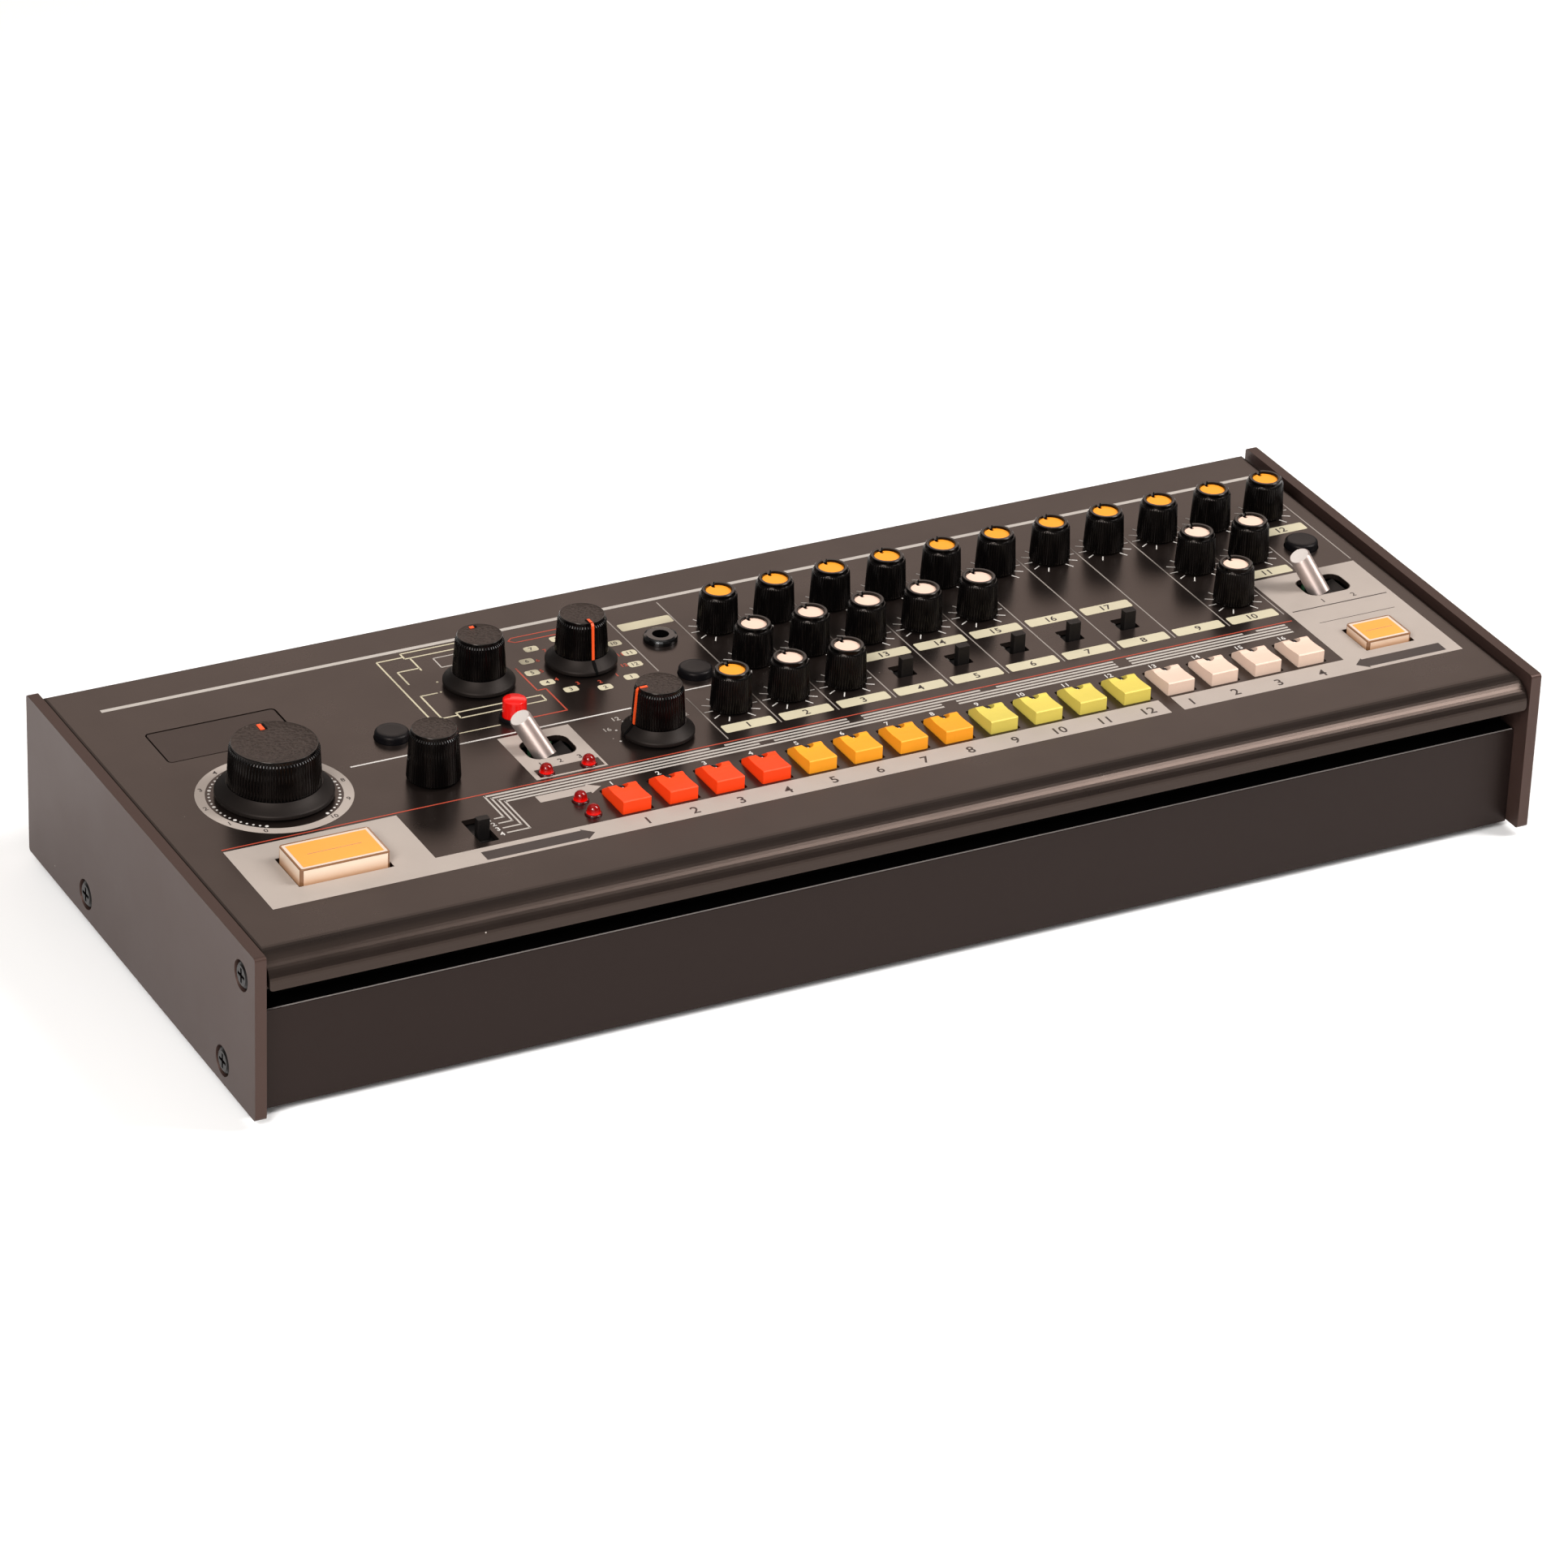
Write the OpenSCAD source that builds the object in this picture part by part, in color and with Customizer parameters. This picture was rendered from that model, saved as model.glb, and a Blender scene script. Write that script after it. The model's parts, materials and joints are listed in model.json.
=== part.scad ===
// Desktop drum machine with a row of coloured step keys and columns of voice knobs.
// The origin is on the table, under the middle of the case. +X is right, +Y is back, +Z is up.
// Places on the panel are measured from the front left corner of the case: x to the right,
// y to the back, and h up from the panel's face.

/* [Case] */
// Width across both end plates
case_w = 308; // [308:1:312]
// Depth of the end plates
case_d = 123.9; // [123.9:0.1:126]
// Height of the end plates
plate_h = 38.5; // [38.5:0.5:42]
// Thickness of an end plate
plate_t = 2.6; // [2.2:0.1:2.6]
// Radius of an end plate's corners
plate_corner_r = 0.8; // [0.4:0.1:1.2]
// Height of the panel's face above the bottom of the plates
face_h = 36.9; // [36.9:0.1:38]
// Thickness of the folded steel panel
sheet_t = 1.2; // [1:0.1:1.2]
// Depth of the panel's rolled front edge, front to back
roll_d = 7; // [6.6:0.1:7.2]
// Height of the panel's rolled front edge
roll_h = 4.9; // [4.6:0.1:5.2]
// Depth of the front lip below the panel's face
lip_drop = 6.7; // [6:0.1:7]
// Depth of the back flange below the panel's face
back_drop = 4; // [3.5:0.5:4]
// Gap between an end plate and the panel
panel_gap = 0.7; // [0.7:0.1:1]
// Set-back of the lower case's front wall
front_setback = 4.8; // [4.4:0.1:5]
// Height of the lower case's front wall
front_wall_h = 23.3; // [22:0.1:24]
// Set-back of the dark wall under the lip
recess_setback = 10; // [9.6:0.1:10.4]
// Set-back of the rear wall, which keeps the socket nuts inside the depth of the plates
rear_setback = 2; // [2:0.1:2.4]
// Thickness of the lower case's walls
wall_t = 1.5; // [1.2:0.1:1.5]

/* [Feet] */
// Height of the case's bottom above the table
foot_h = 1.8; // [1.8:0.1:2.4]
// Radius of a rubber foot
foot_r = 6.5; // [5:0.5:8]
// Distance of the feet from the case's sides
foot_inset_x = 24; // [20:1:40]
// Distance of the feet from the case's front and back
foot_inset_y = 18; // [16:1:24]

/* [Voice columns] */
// Place of the accent column, from the left
voice_x = 138.3; // [138.3:0.1:138.6]
// Spacing of the columns
voice_pitch = 14.05; // [14:0.01:14.1]
// Place of the front knob row
low_row_y = 60.4; // [60.2:0.1:60.6]
// Spacing of the knob rows
row_pitch = 17.24; // [17:0.01:17.4]

/* [Voice knobs] */
// Radius at the base
small_base_r = 4.7; // [4.5:0.1:4.9]
// Radius at the shoulder
small_shoulder_r = 4.25; // [4.1:0.05:4.4]
// Outer radius of the top rim
small_rim_r = 3.5; // [3.3:0.1:3.6]
// Radius of the recess for the coloured disc
small_disc_r = 2.85; // [2.7:0.05:2.9]
// Height of the knob above the panel
small_h = 9.9; // [9.5:0.1:10.5]
// Width of the pointer notch
notch_w = 0.9; // [0.7:0.1:1.1]

/* [Large knobs] */
// Top radius of the tempo knob
tempo_top_r = 9.7; // [9.4:0.1:9.9]
// Radius where the tempo knob meets its skirt
tempo_grip_r = 10.2; // [10:0.1:10.4]
// Skirt radius of the tempo knob
tempo_skirt_r = 12.8; // [12:0.1:13]
// Height of the tempo knob above the panel
tempo_h = 12.6; // [12:0.1:13]
// Top radius of a selector knob
mid_top_r = 5.4; // [5.2:0.1:5.6]
// Radius where a selector knob meets its skirt
mid_grip_r = 5.95; // [5.8:0.05:6.1]
// Skirt radius of a selector knob
mid_skirt_r = 8; // [7.6:0.1:8.2]
// Height of a selector knob above the panel
mid_h = 12.2; // [11.8:0.1:12.6]

/* [Step keys] */
// Place of the first key's middle, from the left
key_x = 99.4; // [99.2:0.1:99.5]
// Spacing of the keys
key_pitch = 11.05; // [11:0.01:11.08]
// Width of a key
key_w = 6.6; // [6.2:0.1:6.8]
// Front of a key
key_y = 27.2; // [27.1:0.1:27.4]
// Depth of a key, front to back
key_d = 10.4; // [10.2:0.1:10.6]
// How far a key goes down
key_travel = 1.2; // [0.8:0.1:1.2]

/* [Levers] */
// Radius of an aluminium lever
lever_r = 2.4; // [2:0.1:2.4]
// Length of a lever above its pivot
lever_l = 13.75; // [13:0.05:14.5]
// Depth of the pivot below the panel's face
pivot_drop = 3.1; // [3.1:0.05:3.2]
// Lean of a lever at either end of its swing
lever_lean = 30.5; // [26:0.1:30.5]
// Radius of the hub that a lever turns on
hub_r = 2.5; // [2.3:0.1:2.5]

/* [Sockets] */
// Bore radius of a small jack socket
small_jack_r = 1.9; // [1.8:0.05:1.9]
// Bore radius of a large jack socket
large_jack_r = 3.2; // [3.15:0.05:3.25]

/* [Hidden] */
$fn = 48;

// Heights above the table
plate_z = foot_h + 0.4;
face_z = plate_z + face_h;

// Heights from the panel's face, so all of these are below it
under = -sheet_t;
board_h = -10.6;
board_t = 1.6;
fit_gap = 0.05;
flange_top = -1.6;
flange_bottom = -2.9;

// Shaft running in a control's bushing
shaft_r = 2;
shaft_bore_r = 2.05;
shaft_bottom = -8.4;
shaft_hole_bottom = -9;
bushing_r = 3;
bushing_h = 0.3;
bushing_hole_r = 3.2;
pot_size = [9.8, 11];
knob_lift = 0.55;

// Columns that carry a knob, for each row, counted from the accent column
top_columns = [for (i = [1 : 11]) i];
middle_columns = [1, 2, 3, 4, 5, 9, 10];
low_columns = [0, 1, 2, 9];
middle_row_y = low_row_y + row_pitch;
top_row_y = low_row_y + 2 * row_pitch;

// Places of the single controls: [x, y]
tempo_at = [32.3, 64.3];
mode_at = [92.75, 91.9];
instrument_at = [117.4, 91.9];
fill_at = [118.5, 56.1];
value_at = [66, 57.3];
rhythm_lever_at = [94.25, 59.85];
fill_lever_at = [287.45, 59];
trigger_jack_at = [voice_x, top_row_y];
round_buttons_at = [[65.4, 77.4], [voice_x, middle_row_y], [voice_x + 11 * voice_pitch, middle_row_y]];
red_button_at = [93, 74.4];

// Push buttons: [middle x, middle y, width, depth, height above the panel]
start_cap = [32, 32.5, 20.4, 11.7, 3.5];
tap_cap = [286, 32.9, 11.4, 9.7, 1.8];
start_travel = 1.5;
tap_travel = 1.2;
round_travel = 1;
round_r = 3.8;
round_top_r = 3.55;
round_h = 1.8;
red_r = 2.65;
red_h = 5;
collar_r = 3.2;
collar_h = 1;
slot_margin = 0.5;
flange_margin = 1.3;

// Slide switches: a slot in the panel and a grip that slides along y
slot_r = 0.4;
prescale_slot = [65.45, 32.8, 4.2, 10.4];
prescale_y = 31.8;
prescale_grip = [2.9, 1.8, 3.6];
prescale_carrier = [6.4, 15];
voice_slot = [4.8, 5.4];
voice_slot_y = 60.3;
voice_grip = [2.9, 2, 4.2];
voice_grip_y = 58.95;
voice_carrier = [7, 8.4];
switch_columns = [3 : 7];

// Lever slots: [x, y, width, depth]
rhythm_slot = [94.1, 59.95, 11.1, 8.5];
fill_slot = [287.4, 59, 11.3, 8.2];
hub_w = 7.2;
wing_w = 6.8;
wing_tip = [5, -0.4];
wing_t = 1;
pivot_r = 1;
pivot_bore_r = 1.05;
ear_t = 1.2;
ear_gap = 0.3;

// Display window: [middle x, middle y, width, depth]
window = [32.4, 92.65, 30.4, 14.1];
window_corner_r = 1.2;
window_gap = 0.4;

// Step key profile from its front edge: [y, h]
key_slot = [7.6, 11.5];
key_slot_y = 32.55;
key_profile = [
    [0, flange_bottom],
    [0, 2.55],
    [0.25, 2.75],
    [1, 2.7],
    [2.6, 2.55],
    [4.6, 2.42],
    [6.2, 2.44],
    [7.1, 2.62],
    [7.6, 2.58],
    [key_d - 0.2, 0.8],
    [key_d, 0.5],
    [key_d, flange_bottom]
];
key_notch_w = 2.5;
key_notch_y = 7.45;

// Lamps: red ones on the panel, and one in each key's notch
lamp_places = [[88.9, 49.8], [98.9, 49.8], [90.3, 36], [90.3, 29.7]];
lamp_r = 1.5;
lamp_h = 2.4;
lamp_flange_r = 1.9;
lamp_hole_r = 1.55;
step_lamp_r = 1;
step_lamp_h = 2.1;
step_lamp_y = 35.1;

// Screws in each end plate: [y, z above the bottom of the plate]
plate_screws = [[7.1, 31.1], [17, 5.4], [91.2, 5.9]];
screw_head_r = 3;
counterbore_r = 3.45;
counterbore_d = 1.4;
screw_r = 1.45;
screw_hole_r = 1.5;
screw_l = 8;
boss_r = 2.6;

// Front of the opening under each end of the panel, clear of the rolled edge
end_cut_y = 2.1;

// Sockets in the rear wall, from the left as seen from the front
large_jacks_x = [40, 64];
small_jacks_x = [for (i = [0 : 5]) 96 + i * 18];
power_inlet_x = 258;
rear_socket_z = 14;
small_barrel_r = 3;
large_barrel_r = 4.6;
power_bore_r = 2.75;
power_pin_r = 1;

// Names and places

function two_digits(i) = i < 10 ? str("0", i) : str(i);

function key_name(i) = str("step_key_", two_digits(i));

function knob_name(row, i) = str("voice_knob_", row, "_", two_digits(i));

function column_x(i) = voice_x + i * voice_pitch;

function key_middle(i) = key_x + (i - 1) * key_pitch;

// Points of an arc around a middle, from one angle to another
function arc(middle, r, from, to, steps) =
    [for (i = [0 : steps]) middle + r * [cos(from + (to - from) * i / steps), sin(from + (to - from) * i / steps)]];

// Outline of a rectangle with round corners, around the origin
function round_rect(w, d, r, steps = 5) = concat(
    arc([w / 2 - r, d / 2 - r], r, 0, 90, steps),
    arc([r - w / 2, d / 2 - r], r, 90, 180, steps),
    arc([r - w / 2, r - d / 2], r, 180, 270, steps),
    arc([w / 2 - r, r - d / 2], r, 270, 360, steps)
);

// Puts something on the panel
module at(x, y, h = 0) {
    translate([x - case_w / 2, y - case_d / 2, face_z + h])
        children();
}

// Puts something on the case, with z from the bottom of the plates
module on_case(x, y, z) {
    translate([x - case_w / 2, y - case_d / 2, plate_z + z])
        children();
}

// A prism with the given outline between two heights
module prism(outline, from, to) {
    translate([0, 0, from])
        linear_extrude(to - from)
            polygon(outline);
}

// A bar whose outline is given as [y, z], running along x between two places
module bar_along_x(outline, from, to) {
    translate([from, 0, 0])
        rotate([90, 0, 90])
            linear_extrude(to - from)
                polygon(outline);
}

// Case

// The rolled front edge: a quarter of an ellipse from the face down to the lip
roll_steps = 14;
function rolled_edge(d, h) =
    [for (i = [0 : roll_steps]) [roll_d - d * sin(90 * i / roll_steps), h * cos(90 * i / roll_steps) - roll_h]];

// The panel's outside, seen from the left: rolled front edge, flat face, folded back edge
function panel_outside() = concat(
    [[case_d - 0.1, -back_drop]],
    arc([case_d - 0.8, -0.7], 0.7, 0, 90, 4),
    rolled_edge(roll_d, roll_h),
    [[0, -lip_drop]]
);

function panel_inside() = concat(
    [[case_d - 0.1 - sheet_t, -lip_drop - 1], [case_d - 0.1 - sheet_t, -sheet_t]],
    rolled_edge(roll_d - sheet_t, roll_h - sheet_t),
    [[sheet_t, -lip_drop - 1]]
);

// The panel's face seen from the front, with soft upper and lower corners
function panel_front(w) = concat(
    arc([w - 1.1, -1.1], 1.1, 0, 90, 4),
    arc([1.1, -1.1], 1.1, 90, 180, 4),
    arc([0.8, 0.8 - lip_drop], 0.8, 180, 270, 4),
    arc([w - 0.8, 0.8 - lip_drop], 0.8, 270, 360, 4)
);

module panel_shell() {
    panel_w = case_w - 2 * (plate_t + panel_gap);
    intersection() {
        difference() {
            bar_along_x(panel_outside(), 0, panel_w);
            bar_along_x(panel_inside(), sheet_t, panel_w - sheet_t);
            translate([-1, end_cut_y, -lip_drop - 1])
                cube([panel_w + 2, case_d - 0.1 - sheet_t - end_cut_y, lip_drop - 2]);
        }
        translate([0, case_d + 1, 0])
            rotate([90, 0, 0])
                linear_extrude(case_d + 2)
                    polygon(panel_front(panel_w));
    }
}

// A round hole through the panel
module panel_hole(place, r) {
    at(place[0], place[1], -2 * sheet_t)
        cylinder(r = r, h = 4 * sheet_t);
}

// A slot through the panel with slightly round corners
module panel_slot(x, y, w, d, r = slot_r) {
    at(x, y)
        prism(round_rect(w, d, r), -2 * sheet_t, 2 * sheet_t);
}

module top_panel() {
    color("#4a413b")
        difference() {
            union() {
                at(plate_t + panel_gap, 0)
                    panel_shell();
                at(red_button_at[0], red_button_at[1], under)
                    cylinder(r = collar_r, h = sheet_t + collar_h);
            }
            for (place = knob_places())
                panel_hole(place, bushing_hole_r);
            for (place = lamp_places)
                panel_hole(place, lamp_hole_r);
            for (place = round_buttons_at)
                panel_hole(place, round_r + 0.2);
            at(red_button_at[0], red_button_at[1], -2 * sheet_t)
                cylinder(r = red_r + 0.2, h = 8);
            panel_hole(trigger_jack_at, small_barrel_r + fit_gap);
            for (i = [1 : 16])
                panel_slot(key_middle(i) + 0.1, key_slot_y, key_slot[0], key_slot[1]);
            for (cap = [start_cap, tap_cap])
                panel_slot(cap[0], cap[1], cap[2] + 2 * slot_margin, cap[3] + 2 * slot_margin);
            panel_slot(prescale_slot[0], prescale_slot[1], prescale_slot[2], prescale_slot[3]);
            for (i = switch_columns)
                panel_slot(column_x(i), voice_slot_y, voice_slot[0], voice_slot[1]);
            for (slot = [rhythm_slot, fill_slot])
                panel_slot(slot[0], slot[1], slot[2], slot[3], 2.5);
            panel_slot(window[0], window[1], window[2], window[3], window_corner_r);
        }
}

// Every place on the panel where a control's bushing comes through
function knob_places() = concat(
    [for (i = top_columns) [column_x(i), top_row_y]],
    [for (i = middle_columns) [column_x(i), middle_row_y]],
    [for (i = low_columns) [column_x(i), low_row_y]],
    [tempo_at, mode_at, instrument_at, fill_at, value_at]
);

// A wall of the lower case, from one corner to the other, with z from the bottom of the case
module case_block(x1, x2, y1, y2, z1, z2) {
    on_case(x1, y1, z1 - 0.4)
        cube([x2 - x1, y2 - y1, z2 - z1]);
}

// Places of the screws that hold an end plate to the left side of the case
module at_plate_screws() {
    for (place = plate_screws)
        on_case(0, place[0], place[1])
            rotate([0, 90, 0])
                children();
}

// Repeats something made for the left end at the right end
module both_ends() {
    children();
    mirror([1, 0, 0])
        children();
}

module lower_case() {
    left = plate_t + fit_gap;
    right = case_w - left;
    back = case_d - rear_setback;
    rear_top = face_h - sheet_t + 0.4 - 0.1;
    side_top = 30;
    color("#3a3230")
        difference() {
            union() {
                case_block(left, right, front_setback, back, 0, wall_t);
                case_block(left, right, front_setback, front_setback + wall_t, 0, front_wall_h);
                case_block(left, right, front_setback, recess_setback + wall_t, front_wall_h - wall_t, front_wall_h);
                case_block(left, right, recess_setback, recess_setback + wall_t, front_wall_h - wall_t, side_top + 2);
                case_block(left + 2, right - 2, recess_setback, recess_setback + wall_t, side_top, rear_top);
                case_block(left + 2, right - 2, back - wall_t, back, 0, rear_top);
                case_block(left, right, back - wall_t, back, 0, side_top + 2);
                both_ends()
                    case_block(left, left + wall_t, front_setback, back, 0, front_wall_h);
                both_ends()
                    case_block(left, left + wall_t, recess_setback, back, 0, side_top);
                both_ends()
                    case_block(left, left + 6.4, 5, recess_setback + wall_t, 28.3, 34);
                both_ends()
                    at_plate_screws()
                        translate([0, 0, left])
                            cylinder(r = boss_r, h = 6);
            }
            both_ends()
                at_plate_screws()
                    cylinder(r = screw_hole_r, h = 20, center = true);
            for (x = small_jacks_x)
                on_case(x, back - wall_t - 1, rear_socket_z)
                    rotate([-90, 0, 0])
                        cylinder(r = small_barrel_r + fit_gap, h = wall_t + 2);
            for (x = concat(large_jacks_x, [power_inlet_x]))
                on_case(x, back - wall_t - 1, rear_socket_z)
                    rotate([-90, 0, 0])
                        cylinder(r = large_barrel_r + fit_gap, h = wall_t + 2);
            at_feet()
                cylinder(r = 2.05, h = 10, center = true);
        }
}

// One end plate, drawn at the left end
module end_plate() {
    difference() {
        on_case(0, case_d / 2, plate_h / 2)
            rotate([90, 0, 90])
                linear_extrude(plate_t)
                    polygon(round_rect(case_d, plate_h, plate_corner_r));
        at_plate_screws()
            cylinder(r = 1.7, h = 20, center = true);
        at_plate_screws()
            translate([0, 0, -1])
                cylinder(r = counterbore_r, h = 1 + counterbore_d);
    }
}

module left_end_plate() {
    color("#5d524b")
        end_plate();
}

module right_end_plate() {
    color("#5d524b")
        mirror([1, 0, 0])
            end_plate();
}

// A cross-head screw whose head lies in the plate's counterbore
module plate_screw() {
    head_h = counterbore_d - fit_gap;
    difference() {
        union() {
            rotate_extrude()
                polygon([[0, 0], [2.2, 0], [screw_head_r, 0.5], [screw_head_r, head_h], [0, head_h]]);
            cylinder(r = screw_r, h = screw_l);
        }
        for (turn = [0, 90])
            rotate([0, 0, turn])
                translate([-1.7, -0.35, -1])
                    cube([3.4, 0.7, 1.8]);
    }
}

module end_plate_screws() {
    color("#2b2726")
        both_ends()
            at_plate_screws()
                plate_screw();
}

module at_feet() {
    for (x = [foot_inset_x, case_w - foot_inset_x])
        for (y = [foot_inset_y, case_d - foot_inset_y])
            translate([x - case_w / 2, y - case_d / 2, foot_h])
                children();
}

// Rubber feet, each with a stem pressed up through the floor
module rubber_feet() {
    color("#1c1b1b")
        at_feet()
            rotate_extrude()
                polygon([
                    [0, -foot_h],
                    [foot_r - 0.6, -foot_h],
                    [foot_r, 0.6 - foot_h],
                    [foot_r, -fit_gap],
                    [2, -fit_gap],
                    [2, wall_t + 0.6],
                    [0, wall_t + 0.6]
                ]);
}

// Inside

// A rotary control standing on the board, with a bushing up through the panel
module pot(place) {
    at(place[0], place[1])
        difference() {
            union() {
                prism(round_rect(pot_size[0], pot_size[1], 0.8, 2), board_h + fit_gap, under - fit_gap);
                translate([0, 0, under - 1])
                    cylinder(r = bushing_r, h = bushing_h + 1 - under);
            }
            translate([0, 0, shaft_hole_bottom])
                cylinder(r = shaft_bore_r, h = 20);
        }
}

// A push switch standing on the board, with its plunger's top at the given height
module push_switch(x, y, top) {
    at(x, y, board_h + fit_gap)
        union() {
            translate([-3, -3, 0])
                cube([6, 6, 3.4]);
            cylinder(r = 1.4, h = top - board_h - fit_gap);
        }
}

// A slide switch body under a slot
module slide_body(x, y, w, d) {
    at(x - w / 2, y - d / 2, board_h + fit_gap)
        cube([w, d, flange_bottom - 0.3 - board_h - fit_gap]);
}

// Two ears and the pin that a lever turns on
module lever_frame(place) {
    inner = hub_w / 2 + ear_gap;
    at(place[0], place[1])
        union() {
            for (side = [-1, 1])
                translate([-2.6, side * (inner + ear_t / 2) - ear_t / 2, board_h + fit_gap])
                    cube([5.2, ear_t, under - 0.1 - board_h - fit_gap]);
            translate([0, -inner - ear_t, -pivot_drop])
                rotate([-90, 0, 0])
                    cylinder(r = pivot_r, h = 2 * (inner + ear_t));
        }
}

module circuit_board() {
    on_case(8, 14, face_h + board_h - board_t)
        cube([case_w - 16, case_d - 20, board_t]);
    for (x = [20, case_w / 2, case_w - 20])
        for (y = [30, case_d - 30])
            on_case(x, y, wall_t - 0.4 + fit_gap)
                cylinder(r = 3, h = face_h + board_h - board_t - wall_t + 0.4 - 2 * fit_gap);
}

module control_board() {
    color("#2f4a35") {
        circuit_board();
        for (place = knob_places())
            pot(place);
        for (i = [1 : 16])
            push_switch(key_middle(i), 30.4, flange_bottom - key_travel - 0.3);
        push_switch(start_cap[0], start_cap[1], flange_bottom - start_travel - 0.3);
        push_switch(tap_cap[0], tap_cap[1], flange_bottom - tap_travel - 0.3);
        for (place = concat(round_buttons_at, [red_button_at]))
            push_switch(place[0], place[1], flange_bottom - round_travel - 0.3);
        slide_body(prescale_slot[0], prescale_slot[1], 7, 18);
        for (i = switch_columns)
            slide_body(column_x(i), voice_slot_y, 7, 11);
        lever_frame(rhythm_lever_at);
        lever_frame(fill_lever_at);
        at(window[0] - 13, window[1] - 6.2, board_h + fit_gap)
            cube([26, 12.4, under - 0.3 - board_h - fit_gap]);
    }
}

// A lamp with a domed lens, on a spacer that stands on the board
module lamp(place, r, top, flange_r) {
    dome = arc([0, top - r], r, 0, 90, 6);
    at(place[0], place[1])
        union() {
            rotate_extrude()
                polygon(concat([[0, under - 2], [r, under - 2]], dome));
            if (flange_r > r)
                translate([0, 0, fit_gap])
                    cylinder(r = flange_r, h = 0.5);
            translate([0, 0, board_h + fit_gap])
                cylinder(r = r - 0.1, h = under - 1 - board_h - fit_gap);
        }
}

module lamps() {
    color("#b8231c")
        for (place = lamp_places)
            lamp(place, lamp_r, lamp_h, lamp_flange_r);
    color("#4a1d18")
        for (i = [1 : 16])
            lamp([key_middle(i), step_lamp_y], step_lamp_r, step_lamp_h, 0);
}

// A tinted window let into the panel, flush with its face
module display_window() {
    color("#453c37")
        at(window[0], window[1])
            prism(
                round_rect(window[2] - 2 * window_gap, window[3] - 2 * window_gap, window_corner_r - window_gap),
                under,
                -0.05
            );
}

// A jack socket along +Z with its nut from 0 up and its body below the wall it sits in
module socket(bore_r, barrel_r, nut_r, nut_h, wall, size) {
    depth = size[2];
    difference() {
        union() {
            rotate_extrude()
                polygon([
                    [0, fit_gap],
                    [nut_r, fit_gap],
                    [nut_r, nut_h - 0.6],
                    [nut_r - 0.2, nut_h - 0.2],
                    [nut_r - 0.7, nut_h],
                    [0, nut_h]
                ]);
            translate([0, 0, -wall - 1])
                cylinder(r = barrel_r, h = wall + 1 + nut_h / 2);
            translate([-size[0] / 2, -size[1] / 2, -wall - fit_gap - depth])
                cube([size[0], size[1], depth]);
        }
        translate([0, 0, -wall - fit_gap - depth + 1])
            cylinder(r = bore_r, h = 60);
    }
}

// Puts something on the outside of the rear wall, with its own +Z pointing backwards
module on_rear(x) {
    on_case(x, case_d - rear_setback, rear_socket_z)
        rotate([-90, 0, 0])
            children();
}

module jack_sockets() {
    color("#1d1b1a") {
        at(trigger_jack_at[0], trigger_jack_at[1])
            socket(small_jack_r, small_barrel_r, 3.86, 1.4, sheet_t, [9, 9, 9]);
        for (x = small_jacks_x)
            on_rear(x)
                socket(small_jack_r, small_barrel_r, 3.9, 1.4, wall_t, [9, 9, 12]);
        for (x = large_jacks_x)
            on_rear(x)
                socket(large_jack_r, large_barrel_r, 6.4, 1.7, wall_t, [14, 14, 22]);
        on_rear(power_inlet_x) {
            socket(power_bore_r, large_barrel_r, 5.6, 1.4, wall_t, [11, 11, 12]);
            translate([0, 0, -wall_t - fit_gap - 11.5])
                cylinder(r = power_pin_r, h = 9);
        }
    }
}

// Knobs

// The shaft under every knob, as the first points of its profile
function shaft_points(bottom_r) = [[0, shaft_bottom], [shaft_r, shaft_bottom], [shaft_r, knob_lift], [bottom_r, knob_lift]];

module voice_knob(x, y) {
    at(x, y)
        difference() {
            rotate_extrude()
                polygon(concat(
                    shaft_points(small_base_r),
                    [
                        [small_shoulder_r, small_h - 1.3],
                        [small_shoulder_r - 0.15, small_h - 0.75],
                        [small_rim_r + 0.15, small_h - 0.1],
                        [small_rim_r, small_h],
                        [small_disc_r, small_h],
                        [small_disc_r, small_h - 1],
                        [0, small_h - 1]
                    ]
                ));
            translate([-notch_w / 2, small_disc_r - 0.9, small_h - 1])
                cube([notch_w, 4, 2]);
        }
}

// A knob with a grip that tapers to its top and, where skirt_r is larger, a cone around its foot
module large_knob(place, top_r, grip_r, skirt_r, top_h) {
    skirt = skirt_r > grip_r ? [[skirt_r, knob_lift], [skirt_r, 1.5], [grip_r, 3.6]] : [[grip_r, knob_lift]];
    at(place[0], place[1])
        rotate_extrude()
            polygon(concat(
                shaft_points(skirt_r > grip_r ? skirt_r - 0.3 : grip_r - 0.3),
                skirt,
                [[top_r, top_h - 0.5], [top_r - 0.15, top_h - 0.15], [top_r - 0.5, top_h], [0, top_h]]
            ));
}

module tempo_knob() {
    color("#2c2826")
        large_knob(tempo_at, tempo_top_r, tempo_grip_r, tempo_skirt_r, tempo_h);
}

// A selector knob with a skirt, for the mode, the instrument and the fill length
module selector_knob(place) {
    color("#2c2826")
        large_knob(place, mid_top_r, mid_grip_r, mid_skirt_r, mid_h);
}

module value_knob() {
    color("#2c2826")
        large_knob(value_at, mid_top_r - 0.1, mid_grip_r, mid_grip_r, mid_h - 0.1);
}

// Levers, keys and buttons

// One of the two thin wings that close a lever's slot beside its hub
module lever_wing() {
    translate([0, wing_w / 2, 0])
        rotate([90, 0, 0])
            linear_extrude(wing_w)
                polygon([
                    [0, 0.6],
                    [1.6, 0.2],
                    [wing_tip[0], wing_tip[1]],
                    [wing_tip[0], wing_tip[1] - wing_t],
                    [1.6, -1.4],
                    [0, -1.4]
                ]);
}

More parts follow.
